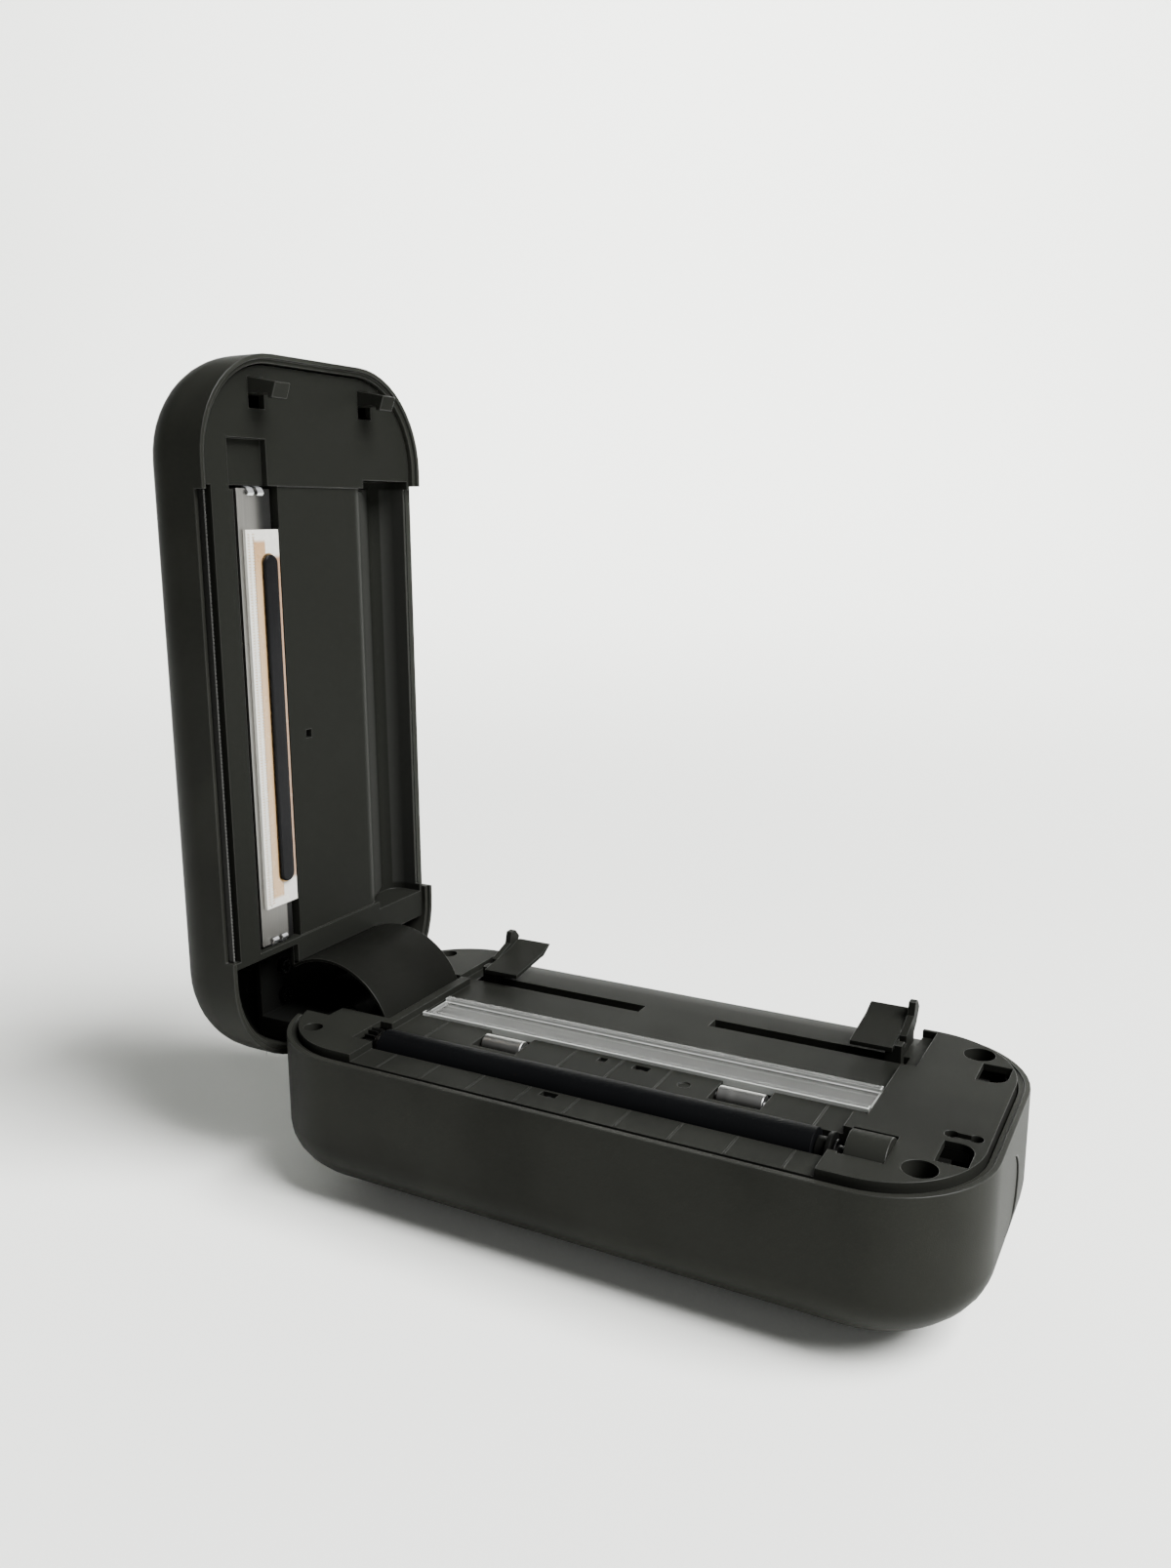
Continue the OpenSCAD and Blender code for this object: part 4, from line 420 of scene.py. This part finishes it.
def new_piece(name, mesh, finish):
    piece = bpy.data.objects.new(name, mesh)
    bpy.context.scene.collection.objects.link(piece)
    mesh.materials.clear()
    mesh.materials.append(finish)
    return piece

def add_bevel(piece, edge, angle=30):
    """Round what turns more than the angle, in degrees, by an edge in millimetres."""
    bevel = piece.modifiers.new("edge", "BEVEL")
    bevel.width, bevel.segments = edge / 1000, 2
    bevel.limit_method, bevel.angle_limit = "ANGLE", math.radians(angle)
    return bevel

# %% Soften one node
with_rim = [made.material for made in (case, deck, panel, cover)]

def soften(name, edge):
    mesh = bpy.data.meshes.new(name + "_soft")
    work = bmesh.new()
    work.from_mesh(node[name].data)
    bmesh.ops.remove_doubles(work, verts=work.verts, dist=1e-6)
    bmesh.ops.dissolve_limit(work, angle_limit=math.radians(1), verts=work.verts, edges=work.edges)
    for face in work.faces:
        face.smooth = True
    work.to_mesh(mesh)
    work.free()
    piece = new_piece(name + "_soft", mesh, finish_of[name])
    bevel = add_bevel(piece, edge, 32)
    bevel.use_clamp_overlap = False
    if finish_of[name] in with_rim:
        mesh.materials.append(rim.material)
        bevel.material = 1
    normals = piece.modifiers.new("normals", "WEIGHTED_NORMAL")
    normals.keep_sharp = True
    plain_mesh(piece)
    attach(piece, body_of[name])
    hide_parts(name)
    return piece

# %% Soften the pieces that show, each with its own radius in millimetres
radius = {
    "base_shell": 0.22, "lid_shell": 0.22, "deck_frame": 0.14, "lid_frame": 0.18,
    "hinge_cover": 0.12, "bearing_cap": 0.2, "paper_guide_left": 0.14, "paper_guide_right": 0.14,
    "latch_hooks": 0.25, "release_button": 0.4, "power_button": 0.35, "lid_hinge_leaf": 0.25,
    "hinge_bracket": 0.25, "platen_rubber": 0.25, "platen_collar": 0.15, "platen_shaft": 0.25,
    "pinch_roller_left": 0.3, "pinch_roller_right": 0.3, "clear_bar": 0.14, "head_body": 0.15,
    "head_ceramic": 0.06, "head_chip_cover": 0.5, "deck_screws": 0.12, "tear_bar": 0.05,
    "shaft_clip": 0.1, "gear_plate": 0.08, "drive_motor": 0.5, "charge_port": 0.05}
for name, edge in radius.items():
    made = soften(name, edge)
    print(name, len(made.data.polygons), "faces")

# %% [markdown]
# ## Rows and rings that Geometry Nodes repeat
# Teeth along the tear edge, the fine conductors on the ceramic, the lenses over the sensors and
# the ribs of the rubber foot are each one small shape repeated. A node tree makes the shape,
# sets it on points, realizes the copies and gives them their material, and the tree's named
# inputs hold the sizes. The points come from the piece's own mesh, in the lid's or base's frame.

# %% One tree for every repeated shape, which is one unit wide and has a turn about Z
shapes = {
    "tooth": ("Cone", {"Vertices": 4, "Radius Top": 0.08, "Radius Bottom": math.sqrt(0.5),
                       "Depth": 1.0}, math.pi / 4),
    "dome": ("UVSphere", {"Segments": 20, "Rings": 10, "Radius": 0.5}, 0),
    "bar": ("Cube", {"Size": (1, 1, 1)}, 0)}

def repeat_tree(shape):
    tree = bpy.data.node_groups.new("repeat_" + shape, "GeometryNodeTree")
    for name, kind in (("Places", "Geometry"), ("Size", "Vector"), ("Finish", "Material")):
        tree.interface.new_socket(name, in_out="INPUT", socket_type="NodeSocket" + kind)
    tree.interface.new_socket("Copies", in_out="OUTPUT", socket_type="NodeSocketGeometry")

    def step(kind, inputs, output="Geometry"):
        return Wave.node(tree, "GeometryNode" + kind, None, inputs).outputs[output]

    given = Wave.node(tree, "NodeGroupInput").outputs
    kind, sizes, turn = shapes[shape]
    form = step("Mesh" + kind, sizes, "Mesh")
    form = step("Transform", {"Geometry": form, "Rotation": (0, 0, turn)})
    copies = step("InstanceOnPoints", {"Points": given["Places"], "Instance": form,
                                       "Scale": given["Size"]}, "Instances")
    real = step("RealizeInstances", {"Geometry": copies})
    coated = step("SetMaterial", {"Geometry": real, "Material": given["Finish"]})
    Wave.node(tree, "NodeGroupOutput", None, {"Copies": coated})
    return tree

# %% The lid's frame: places are given for the shut lid, then turned about the hinge pin
hinge_x, hinge_z = -0.0937, 0.0379    # metres, as the model's lid hinge has them
lid_stands = Matrix(((0, 0, -1, hinge_x + hinge_z), (0, 1, 0, 0),
                     (1, 0, 0, hinge_z - hinge_x), (0, 0, 0, 1)))

def metres(point):
    return tuple(v / 1000 for v in point)

def centred(count, step):
    return [(k - (count - 1) / 2) * step for k in range(count)]

# %% Grow a piece from points, a shape and a size, all in millimetres
trees = {}

def repeat(name, shape, points, size, made, body, in_lid=False, edge=0.0):
    mesh = bpy.data.meshes.new(name)
    mesh.from_pydata([metres(p) for p in points], [], [])
    piece = new_piece(name, mesh, made.material)
    if shape not in trees:
        trees[shape] = repeat_tree(shape)
    grow = piece.modifiers.new("repeat", "NODES")
    grow.node_group = trees[shape]
    values = {"Size": list(metres(size)), "Finish": made.material}
    for socket in trees[shape].interface.items_tree:
        if socket.in_out == "INPUT" and socket.name in values:
            grow[socket.identifier] = values[socket.name]
    if edge:
        add_bevel(piece, edge)
    baked = plain_mesh(piece)
    if in_lid:
        baked.transform(lid_stands)
    for face in baked.polygons:
        face.use_smooth = shape == "dome"
    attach(piece, body)
    print(name, len(points), "copies,", len(baked.polygons), "faces")

# %% Teeth of the tear strip, conductors on the ceramic, lenses over the sensors
ceramic_face = 48.5    # its height in the shut lid
roller_line = -28.2    # where the ceramic meets the roller
tear_edge = (-46.2, 46.85)
teeth = [(x, *tear_edge) for x in centred(128, 1.0)]
repeat("tear_teeth", "tooth", teeth, (1.0, 0.36, -0.42), edge_steel, "lid", True)
strokes = [(x, roller_line + 0.2, ceramic_face - 0.005) for x in centred(132, 0.8)]
repeat("head_conductors", "bar", strokes, (0.22, 2.7, 0.03), bronze, "print_head", True)
lens_z = 44.1
eyes = [(-5.4, -11.6, lens_z), (6.2, -11.6, lens_z), (-8.0, -36.4, lens_z)]
repeat("sensor_eyes", "dome", eyes, (1.9, 1.9, 1.1), resin, "base")

# %% [markdown]
# ## Rubber foot
# The foot is a thin pad let into the bottom. Its underside is ribbed so that it grips, so the
# plain pad is replaced by a slab with eleven long ribs whose crests lie on the table.

# %% Slab and ribs
def closed_mesh(work, name):
    bmesh.ops.recalc_face_normals(work, faces=work.faces)
    mesh = bpy.data.meshes.new(name)
    work.to_mesh(mesh)
    work.free()
    return mesh

def rounded_slab(name, length, width, corner, low, high, made):
    work = bmesh.new()
    ring = []
    for k in range(36):
        a = math.radians(10 * k + 5)
        ring.append((math.copysign(length / 2 - corner, math.cos(a)) + corner * math.cos(a),
                     math.copysign(width / 2 - corner, math.sin(a)) + corner * math.sin(a)))
    face = work.faces.new([work.verts.new(metres((x, y, low))) for x, y in ring])
    lifted = bmesh.ops.extrude_face_region(work, geom=[face])
    bmesh.ops.translate(work, vec=(0, 0, (high - low) / 1000),
                        verts=[v for v in lifted["geom"] if isinstance(v, bmesh.types.BMVert)])
    piece = new_piece(name, closed_mesh(work, name), made.material)
    add_bevel(piece, 0.2, 40)
    plain_mesh(piece)
    return piece

foot_slab = rounded_slab("foot_slab", 115.9, 25.9, 7.95, 0.45, 1.4, rubber)
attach(foot_slab, "base")
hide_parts("rubber_pad")
rib_height = 0.6
ribs = [(0.0, y, rib_height / 2) for y in centred(11, 2.1)]
repeat("foot_ribs", "bar", ribs, (100.0, 1.1, rib_height), rubber, "base",
       edge=0.18)

# %% [markdown]
# ## Print head details
# On the real head a hair-thin glass bead stands on the ceramic where the heating dots sit, a
# black resin bar covers the driver chips inside a bronze border, and a spring clip bites each
# end. The bead is a half-round drawn along the head, with its ends drawn in. The clips are hard
# to read in the photograph, so they are made as a plain fork bent from sheet.

# %% Draw an outline of (y, z) points along the lid
def draw_along(name, outline, stations, made):
    """Each station is a place along X and the share of its size that the outline has there."""
    middle = sum(y for y, z in outline) / len(outline)
    foot = max(z for y, z in outline)
    work = bmesh.new()
    rings = []
    for x, share in stations:
        rings.append([work.verts.new(metres((x, middle + (y - middle) * share,
                                             foot + (z - foot) * share))) for y, z in outline])
    count = len(outline)
    for a, b in zip(rings, rings[1:]):
        for k in range(count):
            work.faces.new((a[k], a[(k + 1) % count], b[(k + 1) % count], b[k]))
    work.faces.new(rings[0][::-1])
    work.faces.new(rings[-1])
    mesh = closed_mesh(work, name)
    mesh.transform(lid_stands)
    return new_piece(name, mesh, made.material)

bead = [(roller_line + 0.5 * math.cos(a), ceramic_face - 0.14 * math.sin(a))
        for a in (math.pi * k / 12 for k in range(13))]
heater_bead = draw_along("heater_bead", bead, ((-53.2, 0.3), (-52.6, 1), (52.6, 1), (53.2, 0.3)),
                         glaze)
for face in heater_bead.data.polygons:
    face.use_smooth = True
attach(heater_bead, "print_head")

# %% Bronze border round the chip cover
chip_line = -0.0215
border = rounded_slab("chip_border", 94.6, 6.0, 2.9, ceramic_face - 0.08, ceramic_face, bronze)
border.data.transform(lid_stands @ Matrix.Translation((0, chip_line, 0)))
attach(border, "print_head")

# %% Forked spring clips at the head's ends
prongs = ((-28.1, -25.9), (-24.3, -22.1))
clip_x, clip_top, fork_root, sheet = 65.15, 60.2, 53.0, 0.35
clip_bend = ((clip_x, clip_top), (clip_x, 50.3), (64.8, 49.3), (64.1, 48.8),
             (63.5, ceramic_face), (62.9, 49.0))

def forked_clip(name, side):
    work = bmesh.new()

    def corner(x, y, z):
        return work.verts.new(metres((side * x, y, z)))

    for prong in prongs:
        rows = [[corner(x, y, z) for y in prong] for x, z in clip_bend]
        for a, b in zip(rows, rows[1:]):
            work.faces.new((a[0], a[1], b[1], b[0]))
    near, far = prongs[0][1], prongs[1][0]
    root = ((near, clip_top), (far, clip_top), (far, fork_root), (near, fork_root))
    work.faces.new([corner(clip_x, y, z) for y, z in root])
    bmesh.ops.remove_doubles(work, verts=work.verts, dist=1e-6)
    mesh = closed_mesh(work, name)
    mesh.transform(lid_stands)
    piece = new_piece(name, mesh, steel.material)
    wall = piece.modifiers.new("sheet", "SOLIDIFY")
    wall.thickness, wall.offset = sheet / 1000, 0
    add_bevel(piece, 0.06)
    plain_mesh(piece)
    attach(piece, "lid")
    return piece

clips = [forked_clip("head_clip_" + word, side) for word, side in (("left", -1), ("right", 1))]
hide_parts("head_clips")
print("print head pieces:", heater_bead.name, border.name, [c.name for c in clips])
